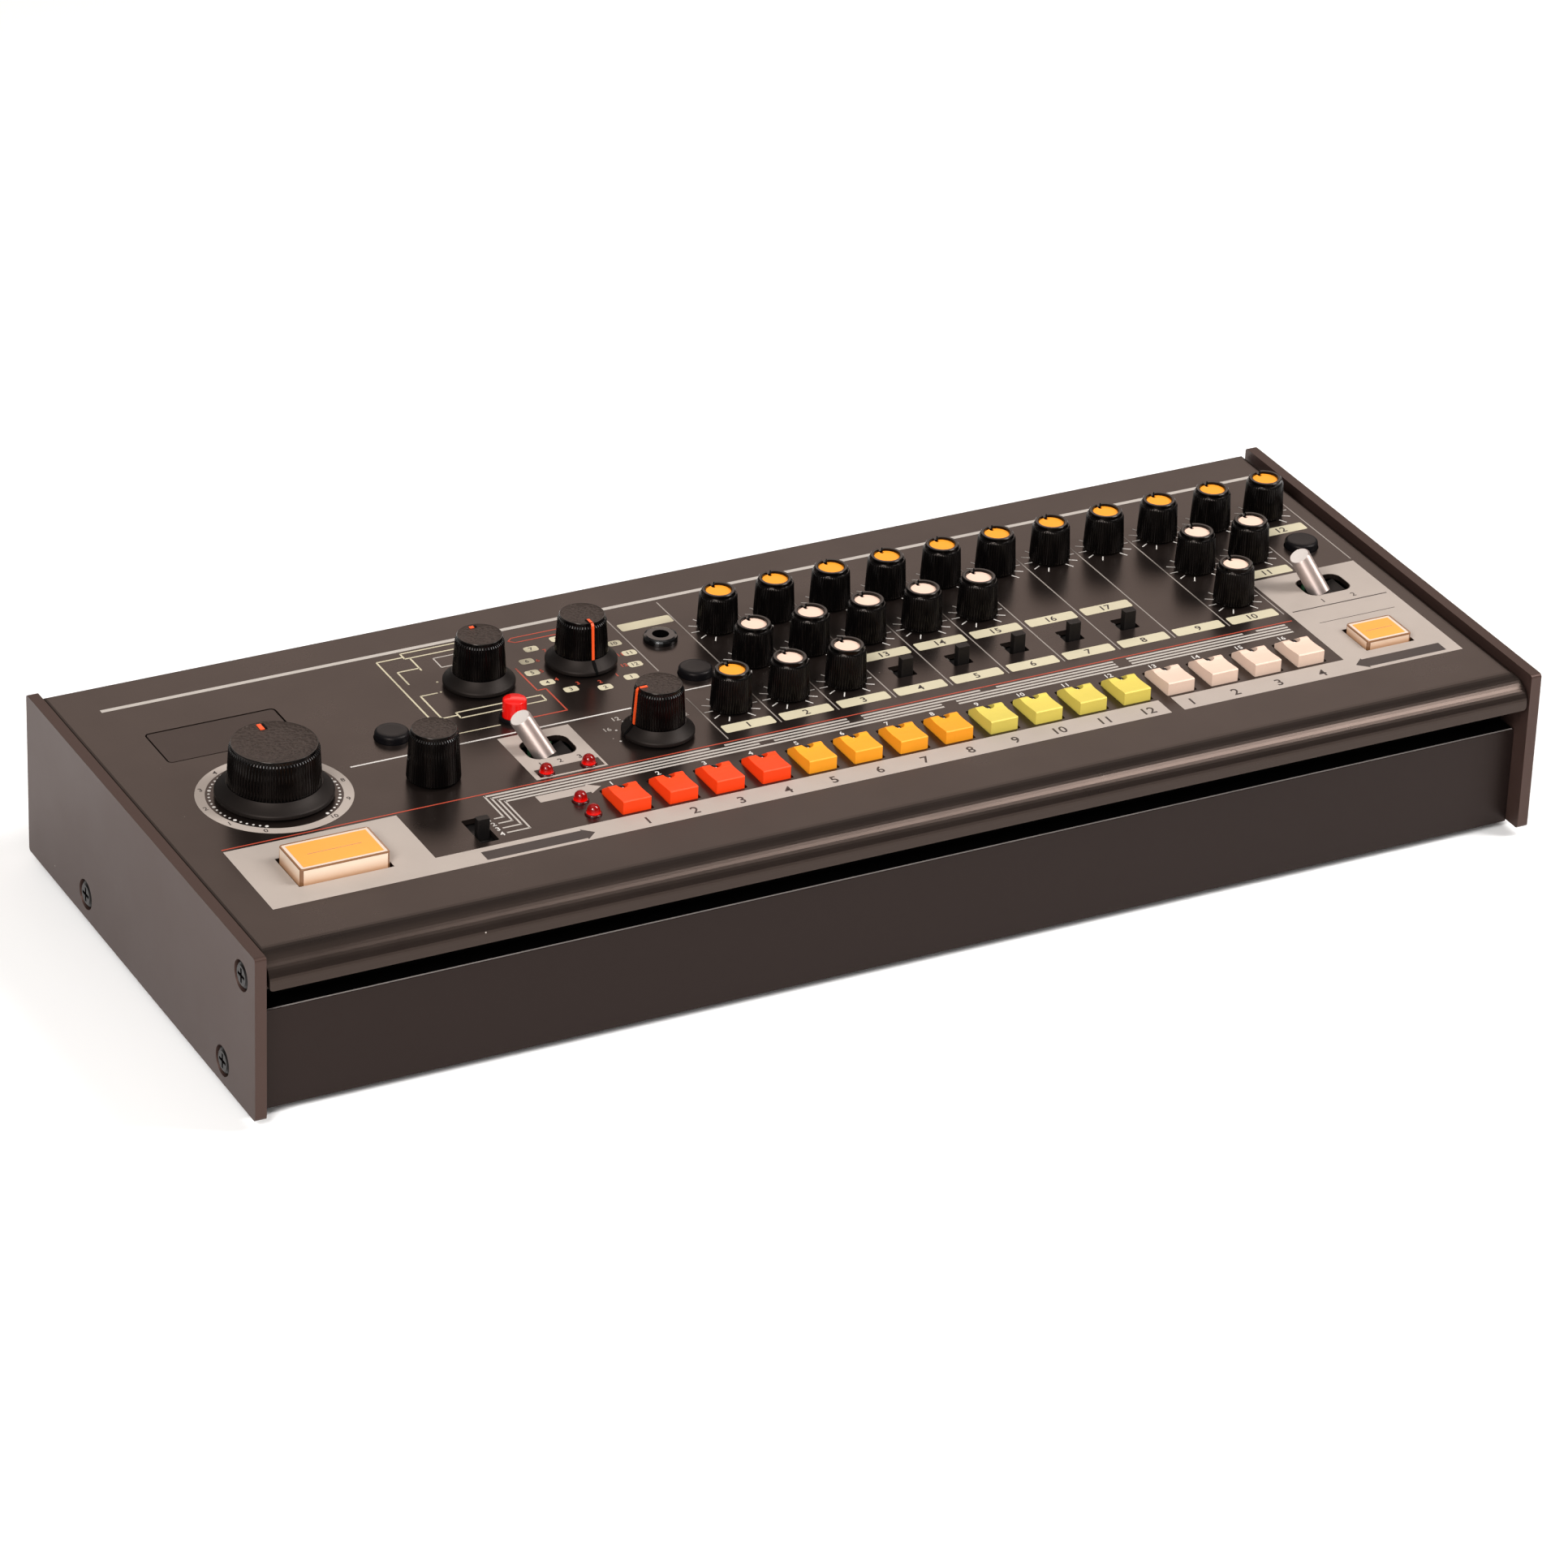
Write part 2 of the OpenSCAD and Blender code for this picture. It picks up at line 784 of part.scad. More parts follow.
// A lever leaning to the left, on the hub that turns about the pin
module lever(place) {
    at(place[0], place[1], -pivot_drop)
        rotate([0, -lever_lean, 0])
            difference() {
                union() {
                    rotate_extrude()
                        polygon([
                            [0, 0],
                            [lever_r, 0],
                            [lever_r, lever_l - 0.3],
                            [lever_r - 0.3, lever_l],
                            [0, lever_l]
                        ]);
                    rotate([-90, 0, 0])
                        cylinder(r = hub_r, h = hub_w, center = true);
                    lever_wing();
                    mirror([1, 0, 0])
                        lever_wing();
                }
                rotate([-90, 0, 0])
                    cylinder(r = pivot_bore_r, h = hub_w + 2, center = true);
            }
}

module rhythm_lever() {
    color("#b9b6b2")
        lever(rhythm_lever_at);
}

module fill_lever() {
    color("#b9b6b2")
        lever(fill_lever_at);
}

// Key colours run in fours from the left
key_colors = ["#f0522b", "#ff9a1f", "#e8de3a", "#f4ddc6"];

module step_key(i) {
    color(key_colors[floor((i - 1) / 4)])
        at(key_middle(i), key_y)
            difference() {
                union() {
                    bar_along_x(key_profile, -key_w / 2, key_w / 2);
                    translate([-key_slot[0] / 2 - 0.8, -1.2, flange_bottom])
                        cube([key_slot[0] + 1.6, key_d + 2.6, flange_top - flange_bottom]);
                }
                translate([-key_notch_w / 2, key_notch_y, -6])
                    cube([key_notch_w, 10, 12]);
                translate([0, key_notch_y, -6])
                    cylinder(r = key_notch_w / 2, h = 12);
            }
}

// A rectangular cap standing in its slot, with a flange that keeps it under the panel
module button_cap(cap) {
    w = cap[2];
    d = cap[3];
    at(cap[0], cap[1])
        union() {
            prism(round_rect(w, d, 0.7), flange_bottom, cap[4] - 0.5);
            prism(round_rect(w - 0.6, d - 0.6, 0.6), cap[4] - 0.6, cap[4]);
            prism(round_rect(w + 2 * flange_margin, d + 2 * flange_margin, 0.5, 2), flange_bottom, flange_top);
        }
}

module start_button() {
    color("#e88b3a")
        button_cap(start_cap);
}

module tap_button() {
    color("#e88b3a")
        button_cap(tap_cap);
}

// Three round black buttons and the red one, each with its flange under the panel
module function_buttons() {
    color("#24201f")
        for (place = round_buttons_at)
            at(place[0], place[1])
                rotate_extrude()
                    polygon([
                        [0, flange_bottom],
                        [round_r + 0.8, flange_bottom],
                        [round_r + 0.8, flange_top],
                        [round_r, flange_top],
                        [round_r, round_h - 0.5],
                        [round_top_r, round_h],
                        [0, round_h]
                    ]);
    color("#d2301f")
        at(red_button_at[0], red_button_at[1])
            rotate_extrude()
                polygon([
                    [0, flange_bottom],
                    [red_r + 0.8, flange_bottom],
                    [red_r + 0.8, flange_top],
                    [red_r, flange_top],
                    [red_r, red_h - 0.4],
                    [red_r - 0.4, red_h],
                    [0, red_h]
                ]);
}

// A slide grip standing on its carrier under the panel
module slide_grip(x, y, grip, carrier) {
    at(x, y)
        union() {
            prism(round_rect(grip[0], grip[1], 0.3, 3), flange_bottom, grip[2]);
            prism(round_rect(carrier[0], carrier[1], 0.3, 2), flange_bottom, flange_top);
        }
}

module prescale_slider() {
    color("#1f1c1b")
        slide_grip(prescale_slot[0], prescale_y, prescale_grip, prescale_carrier);
}

module selector_sliders() {
    color("#1f1c1b")
        for (i = switch_columns)
            slide_grip(column_x(i), voice_grip_y, voice_grip, voice_carrier);
}

lower_case();
top_panel();
left_end_plate();
right_end_plate();
end_plate_screws();
rubber_feet();
control_board();
lamps();
display_window();
jack_sockets();
tempo_knob();
selector_knob(mode_at);  // mode_knob
selector_knob(instrument_at);  // instrument_knob
selector_knob(fill_at);  // fill_knob
value_knob();
rhythm_lever();
fill_lever();
start_button();
tap_button();
function_buttons();
prescale_slider();
selector_sliders();
for (i = [1 : 16])
    step_key(i);
for (i = top_columns)
    color("#2c2826") voice_knob(column_x(i), top_row_y);
for (i = middle_columns)
    color("#2c2826") voice_knob(column_x(i), middle_row_y);
for (i = low_columns)
    color("#2c2826") voice_knob(column_x(i), low_row_y);
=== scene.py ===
"""The looks of a desktop drum machine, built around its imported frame.

Lengths in this file are millimetres, measured from the front left corner of the case: x to the right,
y to the back and h up from the face of the panel. Datum turns them into the frame's metres.
"""

import json
import logging
import math
from dataclasses import dataclass, field
from enum import Enum, IntEnum

import bpy
from mathutils import Matrix, Vector

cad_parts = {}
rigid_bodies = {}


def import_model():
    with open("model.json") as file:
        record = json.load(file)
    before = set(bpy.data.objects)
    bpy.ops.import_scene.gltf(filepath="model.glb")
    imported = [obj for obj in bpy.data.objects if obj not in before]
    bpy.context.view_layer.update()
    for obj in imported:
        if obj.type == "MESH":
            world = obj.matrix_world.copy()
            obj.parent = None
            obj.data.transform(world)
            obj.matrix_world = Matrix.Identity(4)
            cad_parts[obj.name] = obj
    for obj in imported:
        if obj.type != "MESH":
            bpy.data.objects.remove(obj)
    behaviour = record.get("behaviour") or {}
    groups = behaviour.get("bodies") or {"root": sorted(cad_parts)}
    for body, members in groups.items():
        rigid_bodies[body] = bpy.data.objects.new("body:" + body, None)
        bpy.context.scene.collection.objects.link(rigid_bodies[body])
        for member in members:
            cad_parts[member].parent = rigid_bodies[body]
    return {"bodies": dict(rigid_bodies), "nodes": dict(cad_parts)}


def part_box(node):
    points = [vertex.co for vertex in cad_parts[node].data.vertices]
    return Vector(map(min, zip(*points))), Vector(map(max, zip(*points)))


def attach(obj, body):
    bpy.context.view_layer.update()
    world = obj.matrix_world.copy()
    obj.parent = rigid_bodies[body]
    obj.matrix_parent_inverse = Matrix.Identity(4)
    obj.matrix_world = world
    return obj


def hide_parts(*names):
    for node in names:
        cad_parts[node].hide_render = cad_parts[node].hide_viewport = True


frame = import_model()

LOG = logging.getLogger("drum_machine")
MM = 0.001
CASE = "case"

# The middle of the first voice column, the pitch of the columns, and which of them have a slide switch
VOICE_X, VOICE_PITCH = 138.3, 14.05
SWITCH_COLUMNS = (3, 4, 5, 6, 7)
# The pitch of the step keys and the place of the red button
KEY_PITCH = 11.05
RED_BUTTON = (93.0, 74.4)
# Each rib of a knob is drawn with this many points, and its crest lies between the last and the next
POINTS_PER_RIB = 4

Point2 = tuple[float, float]
Point3 = tuple[float, float, float]
Face = tuple[int, ...]
Outline = list[Point2]
# Left, right, front and back of a rectangle on the panel
Plan = tuple[float, float, float, float]
Tree = bpy.types.NodeTree
Socket = bpy.types.NodeSocket


# Shading


def linear(code: str) -> tuple[float, float, float, float]:
    """Turns an sRGB hex colour into Blender's linear colour.

    Args:
        code: Six hex digits after a hash.

    Returns:
        Red, green, blue and a full alpha.
    """
    parts = [int(code[i : i + 2], 16) / 255 for i in (1, 3, 5)]
    low, high = [c / 12.92 for c in parts], [((c + 0.055) / 1.055) ** 2.4 for c in parts]
    return (*(b if c > 0.04045 else a for a, b, c in zip(low, high, parts)), 1.0)


def add_node(
    tree: Tree, kind: str, settings: dict | None = None, links: dict | None = None
) -> bpy.types.Node:
    """Adds one node to a material, with its settings and links.

    Args:
        tree: The node tree.
        kind: The node's Blender type.
        settings: Values by input name or number, or by the node's own property.
        links: Output sockets by the name or number of the input that each one feeds.

    Returns:
        The new node.
    """
    node = tree.nodes.new(kind)
    for key, value in (settings or {}).items():
        if isinstance(key, int) or key in node.inputs:
            node.inputs[key].default_value = value
        else:
            setattr(node, key, value)
    for key, socket in (links or {}).items():
        tree.links.new(socket, node.inputs[key])
    return node


class Grain(Enum):
    """How a surface was made, which sets the pattern in its height."""

    SPRAYED = "sprayed"
    SPARKED = "sparked"
    LEATHER = "leather"
    TURNED = "turned"
    POLISHED = "polished"
    SCREENED = "screened"


@dataclass(frozen=True)
class Finish:
    """One real material and how its surface was made.

    Attributes:
        name: The material and its process.
        colour: Its colour as sRGB hex.
        grain: How the surface was made.
        grain_mm: Spacing of the grain.
        depth_mm: Height of the grain.
        rough: Roughness of the surface.
        metal: How metallic it is.
        ior: Its index of refraction.
        shade: How far the colour wanders between light and dark.
        coat: Strength of a clear layer on top.
        tint: Colour of its reflections as sRGB hex.
        rings: How far fine rings around its own z axis stretch each highlight along that axis.
        foot: Colour at its foot as sRGB hex, or nothing where it is one colour throughout.
        foot_mm: Heights over which the foot's colour gives way to the main one.
        dust: How strongly its few specks of dust show.
        slot: The record's material slot it belongs to; it is not used here.
    """

    name: str
    colour: str
    grain: Grain
    grain_mm: float = 0.4
    depth_mm: float = 0.01
    rough: float = 0.5
    metal: float = 0.0
    ior: float = 1.5
    shade: float = 0.06
    coat: float = 0.0
    tint: str = "#ffffff"
    rings: float = 0.0
    foot: str = ""
    foot_mm: tuple[float, float] = (0.0, 1.0)
    dust: float = 0.0
    slot: str = ""

    def pattern(self, tree: Tree, coords: Socket, cells: float) -> Socket:
        """Builds the height of the surface's grain.

        Args:
            tree: The material's node tree.
            coords: The socket with the object's coordinates.
            cells: Grains in a metre.

        Returns:
            The socket with the height, from 0 to 1.
        """
        if self.grain is Grain.LEATHER:
            warp = add_node(
                tree,
                "ShaderNodeTexNoise",
                {"Scale": cells * 1.3, "Detail": 2.0},
                {"Vector": coords},
            )
            bent = add_node(
                tree,
                "ShaderNodeMix",
                {"data_type": "RGBA", "blend_type": "LINEAR_LIGHT", 0: 0.25 / cells},
                {6: coords, 7: warp.outputs["Color"]},
            )
            cell = add_node(
                tree,
                "ShaderNodeTexVoronoi",
                {"feature": "SMOOTH_F1", "Scale": cells, "Smoothness": 0.5, "Randomness": 1.0},
                {"Vector": bent.outputs[2]},
            )
            return cell.outputs["Distance"]
        if self.grain is Grain.TURNED:
            lines = add_node(
                tree,
                "ShaderNodeTexWave",
                {"bands_direction": "Z", "Scale": cells / 4, "Distortion": 3.0, "Detail": 2.0},
                {"Vector": coords},
            )
            return lines.outputs["Fac"]
        noise = add_node(
            tree,
            "ShaderNodeTexNoise",
            {"Scale": cells, "Detail": 3.0, "Roughness": 0.55},
            {"Vector": coords},
        )
        return noise.outputs["Fac"]

    def colours(self, tree: Tree, coords: Socket, cloud: Socket) -> Socket:
        """Builds the surface's colour: a slow change in shade, a foot of its own colour, and dust.

        Args:
            tree: The material's node tree.
            coords: The socket with the object's coordinates.
            cloud: The socket with a slow noise.

        Returns:
            The socket with the colour.
        """
        base = linear(self.colour)
        ramp = add_node(tree, "ShaderNodeValToRGB", links={"Fac": cloud})
        for stop, scale in ((0, 1 - self.shade), (1, 1 + self.shade)):
            ramp.color_ramp.elements[stop].position = 0.3 + 0.4 * stop
            ramp.color_ramp.elements[stop].color = (*(min(1.0, c * scale) for c in base[:3]), 1)
        colour = ramp.outputs["Color"]
        if self.foot:
            height = add_node(tree, "ShaderNodeSeparateXYZ", links={"Vector": coords}).outputs["Z"]
            low, high = (h * MM for h in self.foot_mm)
            rise = add_node(
                tree,
                "ShaderNodeMapRange",
                {"interpolation_type": "SMOOTHSTEP", "From Min": low, "From Max": high},
                {"Value": height},
            )
            blend = {"data_type": "RGBA", 6: linear(self.foot)}
            blended = {0: rise.outputs["Result"], 7: colour}
            colour = add_node(tree, "ShaderNodeMix", blend, blended).outputs[2]
        if self.dust:
            speck_spacing = 10 * MM
            speck_core, speck_edge = 0.012, 0.022
            specks = add_node(tree, "ShaderNodeTexVoronoi", {"Scale": 1 / speck_spacing}, {"Vector": coords})
            near = add_node(
                tree,
                "ShaderNodeMapRange",
                {"From Min": speck_core, "From Max": speck_edge, "To Min": self.dust, "To Max": 0.0},
                {"Value": specks.outputs["Distance"]},
            )
            pale = {"data_type": "RGBA", 7: linear("#c3b8ae")}
            dusted = {0: near.outputs["Result"], 6: colour}
            colour = add_node(tree, "ShaderNodeMix", pale, dusted).outputs[2]
        return colour

    def material(self) -> bpy.types.Material:
        """Makes the material once, and finds it again afterwards.

        Returns:
            The Blender material.
        """
        known = bpy.data.materials.get(self.name)
        if known:
            return known
        made = bpy.data.materials.new(self.name)
        made.use_nodes = True
        tree = made.node_tree
        tree.nodes.clear()
        coords = add_node(tree, "ShaderNodeTexCoord").outputs["Object"]
        cloud_size = 25 * MM
        cloud = add_node(
            tree,
            "ShaderNodeTexNoise",
            {"Scale": 1 / cloud_size, "Detail": 4.0, "Roughness": 0.6},
            {"Vector": coords},
        ).outputs["Fac"]
        height = self.pattern(tree, coords, 1 / (self.grain_mm * MM))
        fleck = add_node(
            tree,
            "ShaderNodeMix",
            {"data_type": "RGBA", "blend_type": "MULTIPLY", 0: self.shade},
            {6: self.colours(tree, coords, cloud), 7: height},
        )
        wander = 0.06
        rough = add_node(
            tree,
            "ShaderNodeMapRange",
            {"To Min": max(0.02, self.rough - wander), "To Max": min(1.0, self.rough + wander)},
            {"Value": cloud},
        )
        bump = add_node(
            tree,
            "ShaderNodeBump",
            {"Strength": 1.0, "Distance": self.depth_mm * MM},
            {"Height": height},
        )
        shader = add_node(
            tree,
            "ShaderNodeBsdfPrincipled",
            {
                "Metallic": self.metal,
                "IOR": self.ior,
                "Coat Weight": self.coat,
                "Coat Roughness": 0.08,
                "Specular Tint": linear(self.tint),
                "Anisotropic": self.rings,
                "Anisotropic Rotation": 0.25,
            },
            {
                "Base Color": fleck.outputs[2],
                "Roughness": rough.outputs["Result"],
                "Normal": bump.outputs["Normal"],
            },
        )
        add_node(
            tree,
            "ShaderNodeOutputMaterial",
            links={"Surface": shader.outputs["BSDF"]},
        )
        return made


# Powder paint on steel sheet: a fine orange peel softens each reflection, and its brown binder warms it.
PANEL_PAINT = Finish(
    "satin_powder_paint_panel",
    "#16110f",
    Grain.SPRAYED,
    0.35,
    0.004,
    0.29,
    tint="#f3d2c1",
    dust=0.7,
    slot="panel_metal",
)
# Painted shade: the lower case takes a darker copy of the same powder paint, with dimmer reflections, which
# stands in for the shade on its front wall.
CASE_PAINT_SHADED = Finish(
    "satin_powder_paint_case_painted_shade", "#130d0c", Grain.SPRAYED, 0.35, 0.004, 0.4, tint="#ab8f84", slot="case_metal"
)
# Painted light: the end plates take a lighter copy of the same powder paint, which stands in for the light
# on their sides.
PLATE_PAINT_LIT = Finish(
    "satin_powder_paint_plate_painted_light",
    "#2e211d",
    Grain.SPRAYED,
    0.35,
    0.004,
    0.44,
    tint="#ffd6c8",
    dust=0.5,
    slot="plate_metal",
)
# Painted highlight: the same paint made pale along the front wall's folded rim, a thin pale line that stands
# in for the light the edge catches.
RIM_HIGHLIGHT_PAINT = Finish("painted_highlight_powder_paint_rim", "#b4aaa4", Grain.SPRAYED, 0.35, 0.004, 0.35, slot="case_metal")
# Painted shade: a black liner in the recess under the lip, a dark sheet that stands where the recess lies in
# shade; it takes nearly all the light.
RECESS_SHADE_LINER = Finish("painted_shade_recess_flock", "#050404", Grain.SPARKED, 0.25, 0.05, 0.95, tint="#404040")
# Moulded ABS: a spark-eroded mould leaves a very fine matt tooth.
KNOB_ABS = Finish(
    "moulded_abs_knob", "#050404", Grain.SPARKED, 0.3, 0.005, 0.2, tint="#938982", slot="knob_black"
)
SKIRT_ABS = Finish(
    "moulded_abs_skirt", "#0f0c0b", Grain.SPARKED, 0.22, 0.008, 0.5, tint="#a4968e", slot="knob_black"
)
# The bevelled ends of the ribs, duller from handling: each one glints, and they read as a row of dots.
RIB_END_ABS = Finish("handled_abs_rib_end", "#070606", Grain.SPARKED, 0.3, 0.005, 0.31, slot="knob_black")
# Grained ABS: the mould is etched like leather, so each small hill has its own highlight.
LEATHER_ABS = Finish(
    "leather_grained_abs",
    "#251f1c",
    Grain.LEATHER,
    0.78,
    0.2,
    0.44,
    shade=0.2,
    tint="#ffe0d0",
    slot="knob_black",
)
BUTTON_ABS = Finish(
    "moulded_abs_button", "#0b0a0c", Grain.SPARKED, 0.25, 0.008, 0.4, tint="#7c736e", slot="button_black"
)
SLIDER_ABS = Finish(
    "moulded_nylon_slider", "#080707", Grain.SPARKED, 0.3, 0.01, 0.5, tint="#d8ccc6", slot="slider_black"
)
SOCKET_NYLON = Finish(
    "moulded_nylon_socket", "#070606", Grain.POLISHED, 0.8, 0.002, 0.16, slot="socket_black"
)
RED_ABS = Finish(
    "moulded_abs_red", "#e2130e", Grain.POLISHED, 0.6, 0.002, 0.2, coat=0.2, slot="button_black"
)
# Doubly moulded key caps: coloured right through and slightly waxy.
KEY_RED = Finish("moulded_abs_key_red", "#f43f0d", Grain.SPARKED, 0.35, 0.004, 0.5, ior=1.36, slot="key_red")
KEY_ORANGE = Finish(
    "moulded_abs_key_orange", "#f09820", Grain.SPARKED, 0.35, 0.004, 0.5, ior=1.36, slot="key_orange"
)
KEY_YELLOW = Finish(
    "moulded_abs_key_yellow", "#cfba54", Grain.SPARKED, 0.35, 0.004, 0.5, ior=1.36, slot="key_yellow"
)
KEY_CREAM = Finish(
    "moulded_abs_key_cream", "#d7baa7", Grain.SPARKED, 0.35, 0.004, 0.5, ior=1.36, slot="key_cream"
)
DISC_ORANGE = Finish("moulded_abs_disc_orange", "#f49724", Grain.SPARKED, 0.35, 0.003, 0.5, ior=1.4)
DISC_CREAM = Finish("moulded_abs_disc_cream", "#e4c2ae", Grain.SPARKED, 0.35, 0.003, 0.5, ior=1.4)
POINTER_PAINT = Finish("pad_printed_pointer", "#e9501d", Grain.SCREENED, 0.3, 0.002, 0.45)
# Painted shade: a dark strip that stands in for the shadowed wall of a pointer's groove, and for the notch
# down a skirt.
GROOVE_SHADE = Finish("painted_groove_shade", "#030202", Grain.SPARKED, 0.3, 0.002, 0.8, tint="#606060")
# Turned aluminium: its fine rings stretch each highlight into a streak along the rod.
LEVER_ALUMINIUM = Finish(
    "turned_aluminium",
    "#d4c2ba",
    Grain.TURNED,
    0.3,
    0.002,
    0.56,
    metal=0.82,
    shade=0.03,
    rings=0.95,
    slot="lever_aluminium",
)
LEVER_END = Finish(
    "faced_aluminium", "#d9cfc8", Grain.SPARKED, 0.3, 0.004, 0.55, metal=0.3, slot="lever_aluminium"
)
# Injection-moulded lenses: the dome is deep red, and light gathers at its foot.
LENS_RED = Finish(
    "moulded_acrylic_lens_red",
    "#780302",
    Grain.POLISHED,
    1.0,
    0.001,
    0.06,
    ior=1.45,
    foot="#d80b06",
    foot_mm=(0.5, 1.6),
    slot="lamp_lens",
)
LENS_FOOT = Finish(
    "moulded_acrylic_lens_foot", "#3a0302", Grain.POLISHED, 1.0, 0.001, 0.15, slot="lamp_lens"
)
LENS_SMOKE = Finish(
    "moulded_acrylic_lens_smoke", "#160a09", Grain.POLISHED, 1.0, 0.001, 0.08, slot="lamp_lens"
)
WINDOW_TINT = Finish(
    "tinted_acrylic_window", "#211b19", Grain.POLISHED, 2.0, 0.001, 0.4, tint="#ffdccb", slot="window_tint"
)
# Moulded caps: a milky body, a brown edge where the clear shell turns, and a coloured insert.
CAP_CREAM = Finish(
    "moulded_cap_body",
    "#ecd6bf",
    Grain.SPARKED,
    0.35,
    0.002,
    0.25,
    coat=0.5,
    foot="#c48c62",
    foot_mm=(-1.2, 3.0),
    slot="cap_amber",
)
CAP_EDGE = Finish(
    "moulded_cap_edge", "#80583a", Grain.POLISHED, 1.0, 0.001, 0.14, coat=0.6, slot="cap_amber"
)
CAP_BORDER = Finish("moulded_cap_border", "#cbb9a9", Grain.SPARKED, 0.35, 0.002, 0.3, slot="cap_amber")
CAP_ORANGE = Finish(
    "moulded_cap_insert", "#e8983f", Grain.SPARKED, 0.35, 0.002, 0.45, ior=1.4, slot="cap_amber"
)
SCREW_BLACK = Finish(
    "blackened_steel", "#1d1a19", Grain.TURNED, 0.4, 0.003, 0.34, metal=0.8, slot="screw_steel"
)
FOOT_RUBBER = Finish("moulded_rubber", "#141312", Grain.SPARKED, 0.5, 0.02, 0.85, slot="foot_rubber")
BOARD_LACQUER = Finish("lacquered_board", "#274a30", Grain.POLISHED, 1.5, 0.01, 0.35, slot="board")
MARK_GREY = Finish("moulded_mark_grey", "#4b4541", Grain.SPARKED, 0.4, 0.003, 0.5)
# Screen-printed inks: a thin, slightly raised and even film.
INK_WHITE = Finish("screen_print_white", "#c9c3bd", Grain.SCREENED, 0.25, 0.002, 0.5)
INK_SILVER = Finish("screen_print_silver", "#aba39b", Grain.SCREENED, 0.25, 0.002, 0.45)
INK_DIM = Finish("screen_print_dim", "#8a817a", Grain.SCREENED, 0.25, 0.002, 0.45)
INK_GREY = Finish("screen_print_grey", "#a2968d", Grain.SCREENED, 0.25, 0.002, 0.5)
INK_CREAM = Finish("screen_print_cream", "#beb499", Grain.SCREENED, 0.25, 0.002, 0.5)
INK_RED = Finish("screen_print_red", "#a8402c", Grain.SCREENED, 0.25, 0.002, 0.5)
INK_DARK = Finish("screen_print_dark", "#342b28", Grain.SCREENED, 0.25, 0.002, 0.5)
FLOOR_PAPER = Finish("pale_studio_paper", "#fbfaf9", Grain.SPARKED, 2.0, 0.01, 0.9, shade=0.0)


# Shapes


@dataclass(frozen=True)
class Datum:
    """The corner that the panel is measured from, in the frame's metres."""

    left: float
    front: float
    face: float

    @classmethod
    def of_frame(cls) -> "Datum":
        """Reads the corner from the left end plate and the panel's height above that plate's foot.

        Returns:
            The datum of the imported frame.
        """
        low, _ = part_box("left_end_plate")
        face_above_foot = 36.9
        return cls(low.x, low.y, low.z + face_above_foot * MM)

    def point(self, x: float, y: float, h: float = 0.0) -> Vector:
        """Turns a place on the panel into a point of the frame."""
        return Vector((self.left + x * MM, self.front + y * MM, self.face + h * MM))

    def place_of(self, node: str) -> Point2:
        """Finds the middle of a node's plan.

        Args:
            node: The node's name.

        Returns:
            Its place on the panel.
        """
        low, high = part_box(node)
        middle = (low + high) / 2
        return (middle.x - self.left) / MM, (middle.y - self.front) / MM


DATUM = Datum.of_frame()


def voice_x(column: int) -> float:
    """How far to the right the middle of a voice column lies."""
    return VOICE_X + VOICE_PITCH * column


def arc(middle: Point2, r: float, start: float, end: float, steps: int) -> Outline:
    """Points along an arc, with angles in degrees counted from +x.

    Args:
        middle: The arc's middle.
        r: Its radius.
        start: Its first angle.
        end: Its last angle.
        steps: How many stretches it has.

    Returns:
        The points, ends included.
    """
    turns = [math.radians(start + (end - start) * i / steps) for i in range(steps + 1)]
    return [(middle[0] + r * math.cos(a), middle[1] + r * math.sin(a)) for a in turns]


def round_rect(x1: float, x2: float, y1: float, y2: float, r: float) -> Outline:
    """The outline of a rectangle with round corners, anticlockwise.

    Args:
        x1: Its left side.
        x2: Its right side.
        y1: Its front.
        y2: Its back.
        r: The radius of its corners.

    Returns:
        The outline's points.
    """
    steps = 5
    return [
        *arc((x2 - r, y2 - r), r, 0, 90, steps),
        *arc((x1 + r, y2 - r), r, 90, 180, steps),
        *arc((x1 + r, y1 + r), r, 180, 270, steps),
        *arc((x2 - r, y1 + r), r, 270, 360, steps),
    ]


def clock(middle: Point2, r: float, degrees: float) -> Point2:
    """A point at a radius and a clockwise angle from the back."""
    a = math.radians(degrees)
    return middle[0] + r * math.sin(a), middle[1] + r * math.cos(a)


@dataclass(frozen=True)
class Ring:
    """One ring of a turned shape.

    Attributes:
        r: Its radius.
        h: Its height.
        rib: How deep its ribs are.
        slot: Finish of the faces under it.
        tip: Finish of those of them that lie on the ribs' crests, or 0 for the same one.
    """

    r: float
    h: float
    rib: float = 0.0
    slot: int = 0
    tip: int = 0


